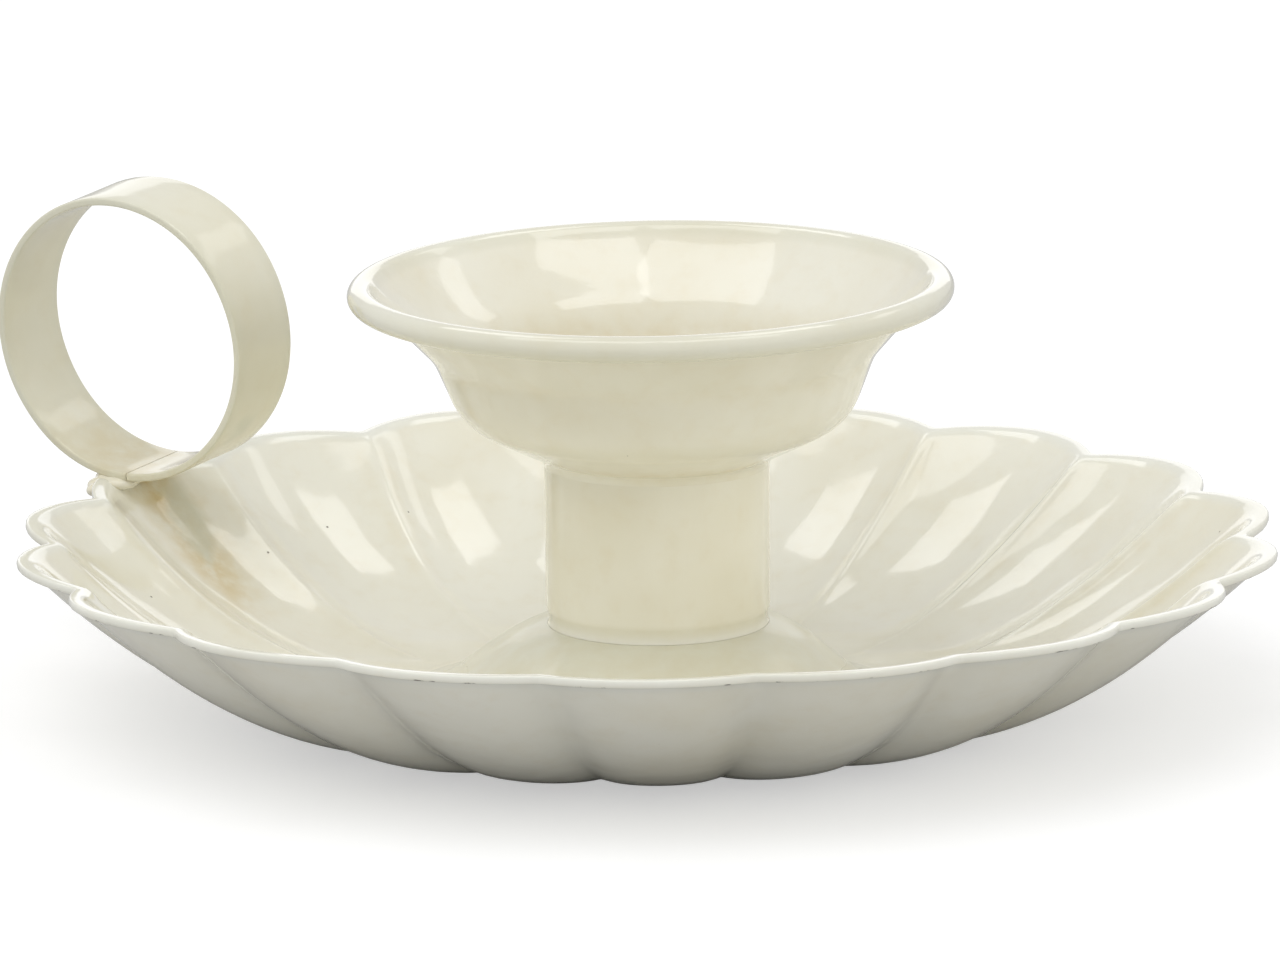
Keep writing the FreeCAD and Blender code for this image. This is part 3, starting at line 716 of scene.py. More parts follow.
class CHAMBERSTICK_OT_dish(Operator):
    """Make the fluted dish from one lobe, repeated by its node tree"""

    bl_idname = "chamberstick.dish"
    bl_label = "Dish"

    def dress_under_ring(self, mesh, sizes, run, bearing):
        """Hold the rim up under the ring, with the lacquer that ran down the wall there."""
        points, top = mesh_points(mesh), read_values(mesh, "top")
        right = points[:, 0] + sizes.centre_shift
        out = right * math.cos(bearing) + points[:, 1] * math.sin(bearing)
        front = points[:, 1] * math.cos(bearing) - right * math.sin(bearing)
        near = np.exp(-(front / sizes.held_width) ** 2) * (out > 0)
        points[:, 2] += sizes.held * near * read_values(mesh, "rise") ** 2
        set_points(mesh, points)
        # The run of thick lacquer bends to the front on its way down from the rim
        down = np.clip((run.start - out) / run.bend_length, 0, 1)
        middle = run.bend * down ** RUN_CURVE - run.back
        thick = (np.exp(-((front - middle) / run.width) ** 2)
                 * np.clip((out - run.end) / run.fade, 0, 1))
        point_values(mesh, "pool", read_values(mesh, "pool") + thick * top)
        # In it is a slanting patch of painted reflection, the ring's underside as a greyer tint;
        # it uses the thin lacquer's colour, as does the painted shade on the raised centre's flank
        ahead, aside = out - run.patch_out, front + run.patch_back
        cosine, sine = math.cos(run.patch_slant), math.sin(run.patch_slant)
        patch = np.hypot((cosine * ahead + sine * aside) / run.patch_length,
                         (sine * ahead - cosine * aside) / run.patch_width)
        thin = PATCH_SHADE * np.clip(PATCH_SHARPNESS * (PATCH_REACH - patch), 0, 1) * top
        # The patch's painted reflection and the flank's painted shade, both in the thin tint
        point_values(mesh, "thin", np.maximum(thin, read_values(mesh, "flank")))

    def execute(self, context):
        sizes = settings(context, "dish")
        grid, side = lobe_patch(sizes)
        points, centre, rise = grid[:, :, :3], grid[:, :, 3], grid[:, :, 4]
        top = side[:, None]
        reach = np.minimum(np.linalg.norm(points - points[:, :1], axis=2),
                           np.linalg.norm(points - points[:, -1:], axis=2))
        present = (np.clip((rise - RIDGE_START) / RIDGE_FULL, 0, 1) ** 2
                   * np.clip((1 - rise) / RIDGE_FADE, 0, 1))

        def along_ridge(half_width, distance=0.0):
            """1 at a distance from the ridge between two lobes, and less to both sides."""
            return np.exp(-((reach - distance) / half_width) ** 2) * present

        bead = sizes.ridge_height * along_ridge(sizes.ridge_width) * top
        fold = sizes.fold * along_ridge(sizes.fold_width) * top
        fill = sizes.groove * along_ridge(sizes.groove_width) * (1 - top)
        away, spread = (part * sizes.ridge_width for part in BESIDE_SHARES)
        beside = along_ridge(spread, away) * top
        # The lip's edges, with their painted highlight, and the raised centre's flank, with
        # painted shade from the cup above, for the lacquer
        edge_low = sizes.rim_height - sizes.sheet / 2
        out = np.linalg.norm(points[:, :, :2], axis=2)
        tip = out.max(axis=0)[None]
        worn = np.hypot(out - tip + WORN_IN, points[:, :, 2] - edge_low - WORN_UP)
        wear = np.exp(-(worn / WORN_REACH) ** 2)
        # Painted shade on the flank under the cup, in the pooled and the thin tints
        flank = np.sqrt(np.clip(1 - centre, 0, 1)) * top
        pool = POOL_BESIDE * beside + FLANK_SHADE * flank + POOL_WORN * wear
        # Painted highlight: a whiter band along the lip's edge
        lip = np.clip((out - tip + sizes.lip_highlight_band) / LIP_HIGHLIGHT_SOFTNESS, 0, 1)
        # The tips of the lobes stand a little higher than the creases
        swell = (tip - tip.min()) / (tip.max() - tip.min())
        points[:, :, 2] += sizes.tip_lift * swell * rise ** 2
        shape = points.shape[:2]
        piece = new_piece("dish_lacquered", points.reshape(-1, 3), grid_faces(*shape, False))
        for name, values in (("centre", centre), ("rise", rise), ("pool", pool),
                             ("wear", wear), ("top", top), ("ridge", bead), ("fold", fold),
                             ("fill", fill), ("lip", lip), ("flank", flank)):
            point_values(piece.data, name, np.broadcast_to(values, shape).ravel())
        material = make_lacquer("Cream lacquer on the dish", settings(context, "lacquer"),
                                warmth=0.2, coat=0.3)
        make_dish_tree(sizes, material).apply(piece)
        outward(piece.data)
        self.dress_under_ring(piece.data, sizes, settings(context, "run"),
                              ring_bearing(sizes, settings(context, "ring")))
        keep_in_box(piece.data)
        finish_piece(piece, material, "dish")
        return {"FINISHED"}


# Turned pieces

# Lacquer at the tube's foot, as shares of its corner: the curve's pull point, in and up, and
# its end, in from the tube; then the rounded tip of the flare, in shares of its thickness
TUCK_SHARES, MENISCUS_SHARE, TIP_SHARES = (0.5, 0.15), 0.05, (0.15, 0.2)
# Amount and reach above the seat of the pooled lacquer and of the painted highlight, a whiter
# line, at the tube's foot
FOOT_POOL, FOOT_HIGHLIGHT = (0.04, 0.0015), (0.9, 0.0011)
# Rounding of the cup's knee on top, in that of its underside
KNEE_TOP_SHARE = 1.6
# Thin lacquer on the bead: where it is thinnest, and how far on it thickens, in bead radii
BEAD_THIN, BEAD_SPAN = 0.3, 1.1
# Reaches of the pooled lacquer at the cup's knee and on its floor, and of the painted shade on the
# upward faces inside the cup below the knee
KNEE_REACH, FLOOR_REACH, BOWL_SHADE_REACH = 0.0012, 0.002, 0.003
# Turns the largest value of part - part ** 4 into 1
HOLLOW_SCALE = 2.12
# Braze under the cup, in legs: down the tube, out along the cup, and the curve's pull point
# below the corner; then how far it sinks into tube and cup
CUP_BRAZE_SHARES, CUP_BRAZE_SINK = (1.6, 1.3, 0.1), 0.0001


def from_point(point, distance, angle):
    """The point at a distance from another, in a direction given in radians."""
    return point[0] + distance * math.cos(angle), point[1] + distance * math.sin(angle)


def line(start, end, steps):
    """Points from start towards end, the end left out."""
    return [(start[0] + (end[0] - start[0]) * step / steps,
             start[1] + (end[1] - start[1]) * step / steps) for step in range(steps)]


def arc(centre, radius, start, finish, steps):
    """Points along an arc, the last left out; angles in radians."""
    return [from_point(centre, radius, start + (finish - start) * step / steps)
            for step in range(steps)]


def curve(start, towards, end, count):
    """Points of a quadratic curve, both ends included."""
    return [tuple((1 - part) ** 2 * a + 2 * part * (1 - part) * b + part ** 2 * c
                  for a, b, c in zip(start, towards, end))
            for part in np.linspace(0, 1, count)]


def wobble(points, amount, scale, seed):
    """Hand-made unevenness: a smooth inward push, the same on both faces of a sheet."""
    moved = points.copy()
    for row, point in enumerate(points):
        push = noise.noise(Vector(point) * scale + Vector((seed, 0, 0))) * 0.5 + 0.5
        flat = math.hypot(point[0], point[1])
        if flat > 1e-6:
            moved[row, :2] -= point[:2] / flat * amount * push
    return moved


def joint_height(context):
    return settings(context, "dish").seat_height + settings(context, "socket").height


class CHAMBERSTICK_OT_socket(Operator):
    """Make the drawn tube of the candle socket"""

    bl_idname = "chamberstick.socket"
    bl_label = "Candle socket"

    def execute(self, context):
        sizes, cup = settings(context, "socket"), settings(context, "cup")
        base, hole = settings(context, "dish").seat_height, settings(context, "dish").rivet_hole
        outer, wall, corner = sizes.radius, sizes.wall, sizes.corner
        inner, bend = outer - wall, (outer - corner, base + corner)
        slope, soft = cup.floor_slope, sizes.mouth_round
        lap = base + sizes.height + cup.sheet / math.cos(slope) - cup.gap * math.tan(slope)
        thick = wall / math.cos(slope)
        tip, tip_low = outer + sizes.flare, lap + sizes.flare * math.tan(slope)
        mouth = lap + thick - wall * math.tan(slope)
        # Lacquer fills the corner between the tube's rounded foot and its seat
        low = -sizes.foot_turn
        foot = from_point(bend, corner, low)
        tuck = (foot[0] + TUCK_SHARES[0] * corner * math.tan(low), base + TUCK_SHARES[1] * corner)
        meniscus = (outer - MENISCUS_SHARE * corner, base - sizes.sink)
        outline = line((hole, base), (outer - corner, base), 8)
        outline += line((outer - corner, base), meniscus, 6)
        outline += curve(meniscus, tuck, foot, 11)[:-1]
        outline += arc(bend, corner, low, 0, 14)
        outline += line((outer, base + corner), (outer, lap), 30)
        outline += line((outer, lap), (tip, tip_low), 6)
        edge = (tip - TIP_SHARES[0] * thick, tip_low + thick / 2)
        outline += arc(edge, thick / 2, -math.pi / 2, math.pi / 2, 8)
        outline += line((tip - TIP_SHARES[1] * thick, tip_low + thick),
                        (inner + soft, mouth + soft / 2), 6)
        outline += line((inner, mouth - soft), (inner, base + corner), 24)
        outline += arc(bend, corner - wall, 0, -math.pi / 2, 8)
        outline += line((outer - corner, base + wall), (hole, base + wall), 8)
        outline.append((hole, base + wall))
        piece = spin("candle_socket_lacquered", outline)
        outward(piece.data)
        points = mesh_points(piece.data)
        set_points(piece.data, wobble(points, sizes.unevenness, 60, 11.0))
        # Pooled tint at the foot, and a painted highlight in the lip's cooler white just above the
        # seat
        for name, (amount, reach) in (("pool", FOOT_POOL), ("lip", FOOT_HIGHLIGHT)):
            near = np.exp(-((points[:, 2] - base) / reach) ** 2)
            point_values(piece.data, name, amount * near)
        material = make_lacquer("Cream lacquer on the tube", settings(context, "lacquer"),
                                warmth=0.85, streaks=0.1, waviness=0.35,
                                shift=(0.3, 0.1, 0))
        finish_piece(piece, material, "candle_socket")
        return {"FINISHED"}


def cup_outline(cup, tube_radius, joint):
    """Section of the spun cup: its underside from the tube to the bead, round that and back.

    Returns the outline, the bead's centre, the knee and the point where the bead starts.
    """
    sheet, slope, quarter = cup.sheet, cup.floor_slope, math.pi / 2
    hole = tube_radius + cup.gap
    turn_at = (tube_radius + cup.floor_run,
               joint + (cup.floor_run - cup.gap) * math.tan(slope))
    side = math.atan2(cup.side_rise, cup.side_run)
    knee = (turn_at[0] + cup.side_run, turn_at[1] + cup.side_rise)
    bead_at = (knee[0] + cup.brim_run, knee[1] + cup.brim_rise)
    inner = cup.bead - sheet
    brim = math.atan2(cup.brim_rise, cup.brim_run) + math.asin(
        inner / math.hypot(cup.brim_run, cup.brim_rise))
    end = brim + quarter - cup.curl
    tangent = cup.bend * math.tan((side - slope) / 2)
    low, high = from_point(turn_at, -tangent, slope), from_point(turn_at, tangent, side)
    middle = from_point(low, cup.bend, slope + quarter)
    curl_start = from_point(bead_at, inner, brim + quarter)
    low_top = from_point(low, sheet, slope + quarter)
    high_top = from_point(high, sheet, side + quarter)
    knee_top = from_point(knee, sheet / math.cos((side - brim) / 2),
                          (side + brim) / 2 + quarter)
    bead_top = from_point(bead_at, cup.bead, brim + quarter)
    soft, soft_top = cup.knee_round, KNEE_TOP_SHARE * cup.knee_round

    def along(start, finish, distance):
        """The point at a distance from start on the way to finish."""
        span = math.dist(start, finish)
        return tuple(a + (b - a) * distance / span for a, b in zip(start, finish))

    def soft_knee(before, at, after, reach):
        """A rounded corner as a quadratic curve."""
        return curve(along(at, before, reach), at, along(at, after, reach), 9)

    under = line((hole, joint), low, 10)
    under += arc(middle, cup.bend, slope - quarter, side - quarter, 16)
    under += line(high, along(knee, high, soft), 8)
    under += soft_knee(high, knee, curl_start, soft)
    under += line(along(knee, curl_start, soft), curl_start, 12)[1:]
    under += arc(bead_at, inner, brim + quarter, end, 26)
    under += arc(from_point(bead_at, (inner + cup.bead) / 2, end), sheet / 2,
                 end + math.pi, end, 6)
    over = arc(bead_at, cup.bead, end, brim + quarter, 40)
    over += line(bead_top, along(knee_top, bead_top, soft_top), 12)
    over += soft_knee(bead_top, knee_top, high_top, soft_top)
    over += line(along(knee_top, high_top, soft_top), high_top, 8)[1:]
    over += arc(middle, cup.bend - sheet, side - quarter, slope - quarter, 14)
    over += line(low_top, (hole, joint + sheet / math.cos(slope)), 10)
    over.append((hole, joint + sheet / math.cos(slope)))
    return under + over, bead_at, knee, curl_start


class CHAMBERSTICK_OT_cup(Operator):
    """Make the spun drip cup with its curled bead"""

    bl_idname = "chamberstick.cup"
    bl_label = "Drip cup"

    def execute(self, context):
        sizes = settings(context, "cup")
        tube = settings(context, "socket").radius
        joint = joint_height(context)
        outline, bead_at, knee, curl_start = cup_outline(sizes, tube, joint)
        piece = spin("drip_cup_lacquered", outline, steps=260)
        outward(piece.data)
        points = mesh_points(piece.data)
        out, height = np.hypot(points[:, 0], points[:, 1]), points[:, 2].copy()
        # The lacquer is thin on the bead, and thicker at the knee and on the floor; painted shade
        # darkens the upward faces inside the cup below the knee
        round_bead = np.hypot(out - bead_at[0], height - bead_at[1]) / sizes.bead
        thin = np.clip(1 - (round_bead - BEAD_THIN) / BEAD_SPAN, 0, 1)
        knee_line = np.exp(-(np.hypot(out - knee[0], height - knee[1]) / KNEE_REACH) ** 2)
        floor = np.exp(-((out - tube - sizes.gap - FLOOR_REACH / 2) / FLOOR_REACH) ** 2)
        upper = np.clip(4 * mesh_vectors(piece.data, "normal")[:, 2], 0, 1)
        bowl_shade = upper * np.clip((knee[1] - height) / BOWL_SHADE_REACH, 0, 1)
        # The upper face of the brim is hollow, most of all close to the bead
        span = np.array(curl_start) - knee
        reach = math.hypot(*span)
        across, up = out - knee[0], height - knee[1]
        part = np.clip((across * span[0] + up * span[1]) / reach ** 2, 0, 1)
        above = np.clip((up * span[0] - across * span[1]) / reach / sizes.sheet, 0, 1)
        bow = sizes.hollow * HOLLOW_SCALE * (part - part ** 4) * above
        points[:, :2] *= (1 + bow * span[1] / reach / out)[:, None]
        points[:, 2] -= bow * span[0] / reach
        # The cup leans a little on its tube
        lean = np.array(Matrix.Rotation(-sizes.lean, 3, "Y"))
        rise = np.clip((points[:, 2] - joint) / (bead_at[1] - joint), 0, 1)
        leant = (points - (0, 0, joint)) @ lean.T + (0, 0, joint)
        leant[:, 0] -= sizes.offset * rise + sizes.slip
        points += (leant - points) * rise[:, None]
        set_points(piece.data, wobble(points, sizes.unevenness, 45, 4.0))
        # The pooled tint below the knee inside the cup is painted shade
        point_values(piece.data, "pool", 0.1 * knee_line + 0.4 * floor + 0.35 * bowl_shade)
        point_values(piece.data, "thin", 1.4 * thin)
        point_values(piece.data, "wear", 0.55 * thin)
        material = make_lacquer("Cream lacquer on the cup", settings(context, "lacquer"),
                                warmth=0.55, streaks=0.05, coat=0.6, waviness=0.35,
                                shift=(0.7, 0.2, 0.1))
        finish_piece(piece, material, "drip_cup")
        return {"FINISHED"}


class CHAMBERSTICK_OT_cup_braze(Operator):
    """Make the fillet of braze under the cup"""

    bl_idname = "chamberstick.cup_braze"
    bl_label = "Cup braze"

    def execute(self, context):
        sizes = settings(context, "cup")
        tube = settings(context, "socket").radius
        joint = joint_height(context)
        down, along, pull = (part * sizes.braze for part in CUP_BRAZE_SHARES)
        inside = tube - CUP_BRAZE_SINK
        low, corner = (inside, joint - down), (inside, joint)
        out = (tube + along, joint + along * math.tan(sizes.floor_slope) + CUP_BRAZE_SINK)
        outline = curve(low, (tube + CUP_BRAZE_SINK / 2, joint - pull), out, 13)
        outline += line(out, corner, 6)[1:] + line(corner, low, 6)
        piece = spin("cup_braze_lacquered", outline)
        outward(piece.data)
        point_values(piece.data, "pool", 0.05)
        material = make_lacquer("Cream lacquer on the cup's braze", settings(context, "lacquer"),
                                warmth=0.65, shift=(0.1, 0.9, 0))
        finish_piece(piece, material, "cup_braze")
        return {"FINISHED"}


class CHAMBERSTICK_OT_rivet(Operator):
    """Dress the rivet that holds the socket"""

    bl_idname = "chamberstick.rivet"
    bl_label = "Rivet"

    def execute(self, context):
        material = make_lacquer("Cream lacquer on the rivet", settings(context, "lacquer"),
                                warmth=0.9, shift=(0.5, 0.5, 0.5))
        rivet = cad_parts["socket_rivet"]
        rivet.data.materials.clear()
        rivet.data.materials.append(material)
        return {"FINISHED"}


# Finger ring

# The dressed ring's size in that of the frame's, so that it stays inside it
RING_SCALE = 0.996
# Lacquer on the ring: the thin band along the strip's edges and how softly it ends, in metres, and
# the shares of its radius below its centre where thicker lacquer starts, and is full; inside the
# ring this darker tint is painted shade as well
EDGE_BAND, EDGE_SOFTNESS = 0.0006, 0.0005
LOW_POOL_SHADE_START, LOW_POOL_SHADE_SPAN = 0.55, 0.4
# Thin patch low on the outside, in the ring's own axes: place, half sizes and sharpness
RING_PATCH, RING_PATCH_HALVES = (-0.0126, 0.001, -0.0096), (0.0022, 0.0016, 0.0028)
RING_PATCH_SHARPNESS = 3


def ring_bearing(dish, ring):
    """Direction of the lobe that carries the ring, from +X towards +Y."""
    return (dish.first_crease + (ring.lobe + 0.5) * 2 * math.pi / dish.lobes) - math.pi / 2


def ring_matrix(dish, ring):
    """Place of the ring; its own XZ plane is the ring's plane and Y its strip's width."""
    bearing = ring_bearing(dish, ring)
    reach = dish.rim_radius + dish.lobe_depth - ring.inset
    centre = Vector((-dish.centre_shift + reach * math.cos(bearing), reach * math.sin(bearing),
                     dish.rim_height + ring.lift + ring.radius))
    turned = Matrix.Rotation(bearing - ring.twist, 4, "Z")
    return Matrix.Translation(centre) @ turned @ Matrix.Rotation(-ring.lean, 4, "X")


def make_ring_tree(ring, placement, material):
    """A strip that follows an almost closed circle, then bent a little out of true."""
    shape = ShapeTree("Strip round the finger ring")
    radius = shape.input("Radius", "Float", ring.radius - ring.strip_thickness / 2)
    width = shape.input("Strip width", "Float", ring.strip_width)
    thickness = shape.input("Strip thickness", "Float", ring.strip_thickness)
    rounding = shape.input("Rounding", "Float", ring.rounding)
    gap = shape.input("Seam gap", "Float", ring.seam_gap)
    uneven = shape.input("Unevenness", "Float", ring.unevenness)
    seed = shape.input("Seed", "Float", 8.3)
    spot = shape.input("Centre", "Vector", tuple(placement.translation))
    turned = shape.input("Turn", "Vector", tuple(placement.to_euler()))
    half = shape.math("DIVIDE", gap, shape.math("MULTIPLY", radius, 2.0))
    start = shape.math("ADD", half, -math.pi / 2)
    sweep = shape.math("SUBTRACT", 2 * math.pi, shape.math("MULTIPLY", half, 2.0))
    path = shape.node("GeometryNodeCurveArc", Resolution=240, Radius=radius,
                      Start_Angle=start, Sweep_Angle=sweep)
    strip = shape.node("GeometryNodeCurvePrimitiveQuadrilateral", Width=thickness, Height=width)
    soft = shape.node("GeometryNodeFilletCurve", {"mode": "POLY"}, Curve=strip.outputs[0],
                      Count=4, Radius=rounding, Limit_Radius=True)
    fine = shape.node("GeometryNodeSubdivideCurve", Curve=soft.outputs[0], Cuts=5)
    body = shape.node("GeometryNodeCurveToMesh", Curve=path.outputs[0],
                      Profile_Curve=fine.outputs[0], Fill_Caps=True)
    place = shape.node("GeometryNodeInputPosition").outputs[0]
    waves = shape.node("ShaderNodeTexNoise", {"noise_dimensions": "4D"}, Vector=place, W=seed,
                       Scale=60.0, Detail=1.0)
    centred = shape.node("ShaderNodeVectorMath", {"operation": "SUBTRACT"})
    shape.feed(centred.inputs[0], waves.outputs["Color"])
    centred.inputs[1].default_value = (0.5, 0.5, 0.5)
    bent = shape.node("GeometryNodeSetPosition", Geometry=body.outputs[0],
                      Offset=shape.scale(centred.outputs[0], uneven))
    upright = shape.node("GeometryNodeTransform", Geometry=bent.outputs[0],
                         Rotation=(math.pi / 2, 0, 0), Scale=(RING_SCALE,) * 3)
    standing = shape.node("GeometryNodeTransform", Geometry=upright.outputs[0],
                          Translation=spot, Rotation=turned)
    shape.end(standing.outputs[0], material)
    return shape


class CHAMBERSTICK_OT_ring(Operator):
    """Make the finger ring from a strip that follows a circle"""

    bl_idname = "chamberstick.ring"
    bl_label = "Finger ring"

    def execute(self, context):
        dish, ring = settings(context, "dish"), settings(context, "ring")
        placement = ring_matrix(dish, ring)
        piece = new_piece("finger_ring_lacquered", [(0, 0, 0)], [])
        material = make_lacquer("Cream lacquer on the ring", settings(context, "lacquer"),
                                warmth=0.85, coat=0.0, shift=(0.2, 0.6, 0.4))
        make_ring_tree(ring, placement, material).apply(piece)
        outward(piece.data)
        piece.data.shade_smooth()
        keep_in_box(piece.data)
        points = mesh_points(piece.data)
        own = (points - np.array(placement.translation)) @ np.array(placement.to_3x3())
        out = np.hypot(own[:, 0], own[:, 2])
        edge = np.clip((np.abs(own[:, 1]) - ring.strip_width / 2 + EDGE_BAND) / EDGE_SOFTNESS,
                       0, 1)
        low = np.clip((-own[:, 2] / ring.radius - LOW_POOL_SHADE_START) / LOW_POOL_SHADE_SPAN, 0, 1)
        outside = out > ring.radius - 0.5 * ring.strip_thickness
        patch = np.linalg.norm((own - RING_PATCH) / RING_PATCH_HALVES, axis=1)
        patch = np.clip(RING_PATCH_SHARPNESS * (1 - patch), 0, 1)
        point_values(piece.data, "thin", 0.4 + 0.4 * edge + 0.8 * patch)
        # Low on the ring: thicker lacquer, and inside the ring more of its tint, as painted shade
        point_values(piece.data, "pool", low * np.where(outside, 0.5, 0.6))
        point_values(piece.data, "wear", 0.45 * edge)
        finish_piece(piece, material, "finger_ring")
        return {"FINISHED"}


# Drops of braze under the ring, in millimetres from the ring's lowest point: place outwards,
# to the front and up, then half sizes the same way
BRAZE_DROPS = (((1.2, 0.3, -0.35), (2.6, 4.3, 0.6)), ((1.9, 3.9, -0.7), (2.2, 1.9, 0.85)),
               ((3.5, 2.8, -0.45), (1.6, 2.4, 0.95)), ((3.6, 5.2, -1.0), (1.3, 1.5, 0.85)),
               ((3.2, 6.9, -1.15), (0.9, 1.1, 0.75)), ((1.2, -3.6, -0.45), (2.0, 1.4, 0.55)))
# How finely the drops are joined, in metres, and how much and how often they are smoothed
BRAZE_VOXEL, BRAZE_SMOOTHING, BRAZE_ROUNDS = 0.00013, 0.5, 22
# Folds on their surface: noise per metre along the three axes, and height in metres
FOLD_SCALES, FOLD_HEIGHT = (260, 700, 500), 0.00011


class CHAMBERSTICK_OT_ring_braze(Operator):
    """Make the braze that ran together under the finger ring"""

    bl_idname = "chamberstick.ring_braze"
    bl_label = "Ring braze"

    def execute(self, context):
        dish, ring = settings(context, "dish"), settings(context, "ring")
        placement = ring_matrix(dish, ring)
        bearing = ring_bearing(dish, ring)
        seat = placement @ Vector((0, 0, -ring.radius))
        axes = Matrix.Translation(seat) @ Matrix.Rotation(bearing, 4, "Z")
        work = bmesh.new()
        for place, halves in BRAZE_DROPS:
            drop = (Matrix.Translation(Vector(place) / 1000)
                    @ Matrix.Diagonal((*(half / 1000 for half in halves), 1)))
            bmesh.ops.create_icosphere(work, subdivisions=5, radius=1.0, matrix=axes @ drop)
        mesh = bpy.data.meshes.new("ring_braze_lacquered")
        work.to_mesh(mesh)
        work.free()
        piece = bpy.data.objects.new("ring_braze_lacquered", mesh)
        context.scene.collection.objects.link(piece)
        joined = piece.modifiers.new("Drops run together", "REMESH")
        joined.mode, joined.voxel_size = "VOXEL", BRAZE_VOXEL
        flowed = piece.modifiers.new("Flowed smooth", "SMOOTH")
        flowed.factor, flowed.iterations = BRAZE_SMOOTHING, BRAZE_ROUNDS
        apply_modifiers(piece)
        mesh = piece.data
        points = mesh_points(mesh)
        folds = np.array([noise.noise(Vector(place)) for place in points * FOLD_SCALES])
        set_points(mesh, points + mesh_vectors(mesh, "normal") * (FOLD_HEIGHT * folds)[:, None])
        mesh.shade_smooth()
        outward(mesh)
        point_values(mesh, "pool", 0.25)
        point_values(mesh, "wear", 0.5)
        material = make_lacquer("Cream lacquer on the ring's braze",
                                settings(context, "lacquer"), warmth=0.6, shift=(0.4, 0.4, 0.1))
        finish_piece(piece, material, "ring_braze")
        return {"FINISHED"}


# Stage

# Name, use, azimuth, elevation, distance, width, height, radiance and roll of each lamp
LAMPS = (("top_soft", "fill", -48, 62, 1.5, 1.4, 1.4, 1.15, 0),
         ("right_soft", "fill", 75, 12, 1.6, 1.6, 1.0, 1.0, 0),
         ("ceiling_right", "window", 53.5, 69.7, 1.06, 0.55, 0.3, 1.55, -36.5),
         ("ceiling_left", "window", -61, 71.5, 1.07, 0.7, 0.3, 1.55, 37),
         ("right_side", "window", 128, 40, 1.1, 0.42, 0.14, 1.0, 0),
         ("back_right", "window", 138, 64, 1.0, 0.3, 0.34, 2.1, 0),
         ("back_left", "window", -140, 58, 1.0, 0.3, 0.38, 2.1, 0),
         ("back_wall", "window", 180, 14, 1.5, 1.0, 0.5, 0.65, 0))
LAMP_AIM = 0.02
FLOOR_HALF = 3
# The photograph's width and how far its middle lies off the lens's axis, in its own pixels
PHOTO_WIDTH, VIEW_SHIFT = 1280, (-7.3, 61.3)


def add_softbox(name, use, azimuth, elevation, distance, width, height, radiance, roll):
    """A rectangular lamp that faces the object; azimuth 0 is in front, 90 to the right.

    Angles are in degrees. A "fill" only lights the object, and a "window" only shows in its
    gloss.
    """
    lamp = bpy.data.lights.new(name, "AREA")
    lamp.shape = "RECTANGLE"
    lamp.size, lamp.size_y = width, height
    lamp.energy = radiance * math.pi * width * height
    box = bpy.data.objects.new(name, lamp)
    box.visible_diffuse, box.visible_glossy = use == "fill", use == "window"
    bpy.context.scene.collection.objects.link(box)
    turn_z, up = math.radians(azimuth), math.radians(elevation)
    aim = Vector((0, 0, LAMP_AIM))
    towards = Vector((math.sin(turn_z) * math.cos(up), -math.cos(turn_z) * math.cos(up),
                      math.sin(up)))
    box.location = aim + towards * distance
    facing = towards.to_track_quat("Z", "Y").to_matrix()
    box.rotation_euler = (facing @ Matrix.Rotation(math.radians(roll), 3, "Z")).to_euler()


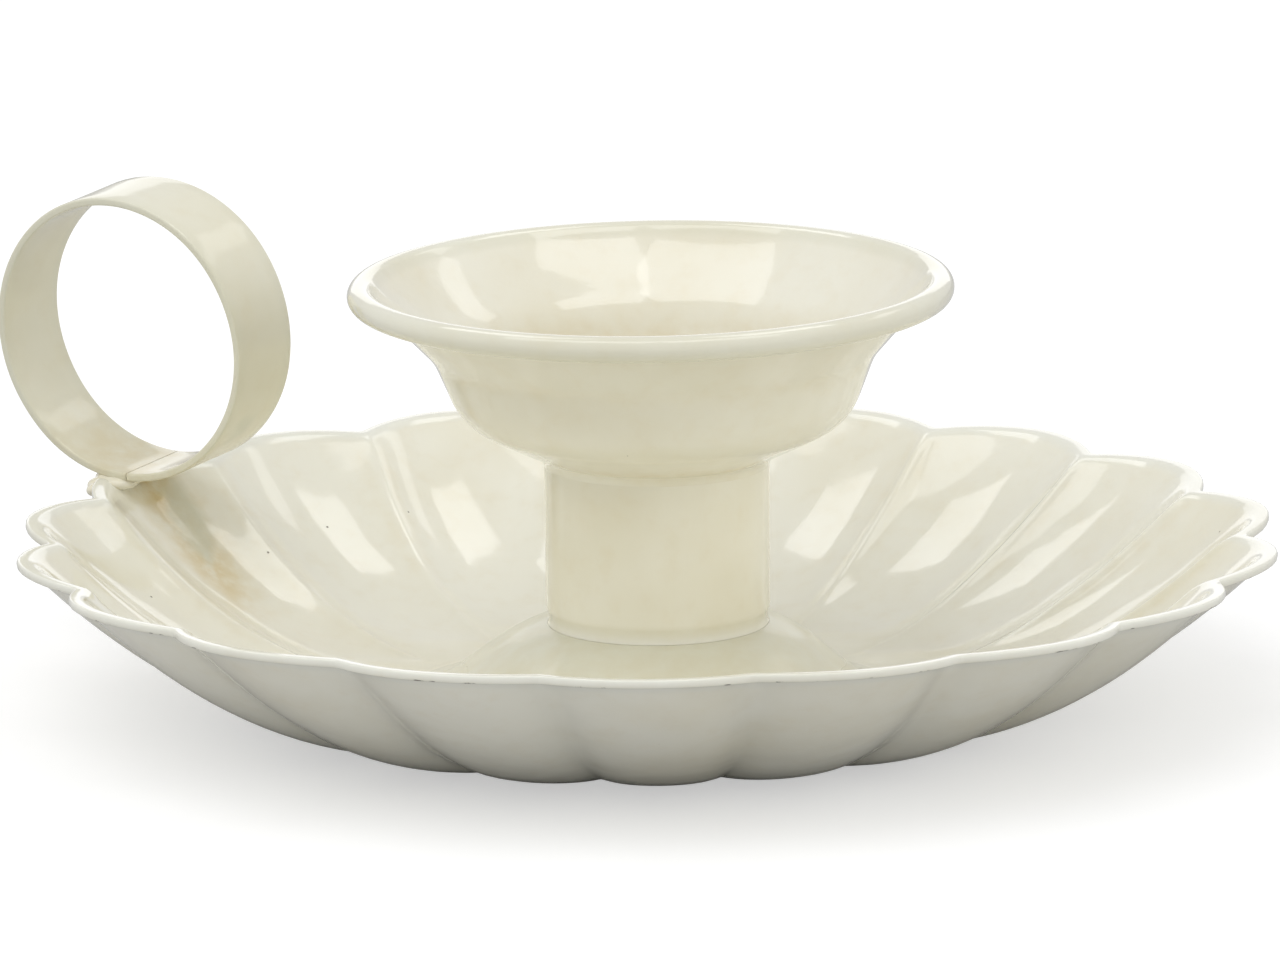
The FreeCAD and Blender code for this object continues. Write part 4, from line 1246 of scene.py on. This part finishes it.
class CHAMBERSTICK_OT_stage(Operator):
    """Set the pale floor, the lamps and the camera"""

    bl_idname = "chamberstick.stage"
    bl_label = "Stage"

    def execute(self, context):
        studio, dish = settings(context, "studio"), settings(context, "dish")
        corners = [(FLOOR_HALF * x, FLOOR_HALF * y, FLOOR_Z)
                   for x, y in ((-1, -1), (1, -1), (1, 1), (-1, 1))]
        floor = new_piece("floor", corners, [(0, 1, 2, 3)])
        paper = Surface("White paper")
        paper.shader.inputs["Base Color"].default_value = (*(studio.paper,) * 3, 1)
        paper.shader.inputs["Roughness"].default_value = 0.9
        paper.shader.inputs["Specular IOR Level"].default_value = 0.0
        seen = paper.node("ShaderNodeLightPath")
        glow = paper.math("MULTIPLY", seen.outputs["Is Camera Ray"], studio.glow)
        paper.shader.inputs["Emission Color"].default_value = (1, 1, 1, 1)
        paper.feed(paper.shader.inputs["Emission Strength"], glow)
        below = paper.node("ShaderNodeNewGeometry").outputs["Backfacing"]
        paper.feed(paper.shader.inputs["Alpha"], paper.math("SUBTRACT", 1.0, below))
        floor.data.materials.append(paper.material)

        world = bpy.data.worlds.new("White room")
        context.scene.world = world
        world.use_nodes = True
        nodes, links = world.node_tree.nodes, world.node_tree.links
        backdrop = nodes["Background"]
        backdrop.inputs["Color"].default_value = (1.0, 1.0, 1.0, 1)
        path = nodes.new("ShaderNodeLightPath")
        level = nodes.new("ShaderNodeMix")
        level.inputs[2].default_value = studio.fill
        level.inputs[3].default_value = 1.0
        links.new(path.outputs["Is Camera Ray"], level.inputs[0])
        links.new(level.outputs[0], backdrop.inputs["Strength"])

        for lamp in LAMPS:
            add_softbox(*lamp)

        lens = bpy.data.cameras.new("camera")
        lens.sensor_fit, lens.sensor_width = "HORIZONTAL", 36.0
        lens.lens = studio.focal * 1000
        lens.clip_end = 20
        lens.shift_x, lens.shift_y = (pixels / PHOTO_WIDTH for pixels in VIEW_SHIFT)
        camera = bpy.data.objects.new("camera", lens)
        context.scene.collection.objects.link(camera)
        aim = Vector((-dish.centre_shift, 0, dish.rim_height))
        up = studio.elevation
        camera.location = aim + studio.distance * Vector((0, -math.cos(up), math.sin(up)))
        level_up = Euler((math.pi / 2 - up, 0, 0)).to_matrix()
        camera.rotation_euler = (level_up @ Matrix.Rotation(studio.roll, 3, "Z")).to_euler()
        context.scene.camera = camera
        context.scene.view_settings.view_transform = "Standard"
        return {"FINISHED"}


# Panel and registration

STEPS = (CHAMBERSTICK_OT_dish, CHAMBERSTICK_OT_socket, CHAMBERSTICK_OT_cup,
         CHAMBERSTICK_OT_cup_braze, CHAMBERSTICK_OT_rivet, CHAMBERSTICK_OT_ring,
         CHAMBERSTICK_OT_ring_braze, CHAMBERSTICK_OT_stage)
GROUPS = {"dish": DishSizes, "run": RunSizes, "socket": SocketSizes, "cup": CupSizes,
          "ring": RingSizes, "lacquer": LacquerLook, "studio": StudioSettings}


class CHAMBERSTICK_PT_pieces(Panel):
    """Lists the pieces and their sizes"""

    bl_idname = "CHAMBERSTICK_PT_pieces"
    bl_label = "Chamberstick"
    bl_space_type = "VIEW_3D"
    bl_region_type = "UI"
    bl_category = "Chamberstick"

    def draw(self, context):
        for step in STEPS:
            self.layout.operator(step.bl_idname)
        for name, group in GROUPS.items():
            box = self.layout.box()
            box.label(text=name.capitalize())
            for item in group.__annotations__:
                box.prop(settings(context, name), item)


def register():
    for item in (*GROUPS.values(), *STEPS, CHAMBERSTICK_PT_pieces):
        bpy.utils.register_class(item)
    for name, group in GROUPS.items():
        setattr(bpy.types.Scene, "chamberstick_" + name, PointerProperty(type=group))


def unregister():
    for name in GROUPS:
        delattr(bpy.types.Scene, "chamberstick_" + name)
    for item in (CHAMBERSTICK_PT_pieces, *STEPS, *GROUPS.values()):
        bpy.utils.unregister_class(item)


def main():
    register()
    for step in STEPS:
        call = getattr(bpy.ops.chamberstick, step.bl_idname.split(".")[1])
        if call() != {"FINISHED"}:
            raise RuntimeError(f"{step.bl_label} wasn't made")


if __name__ == "__main__":
    main()
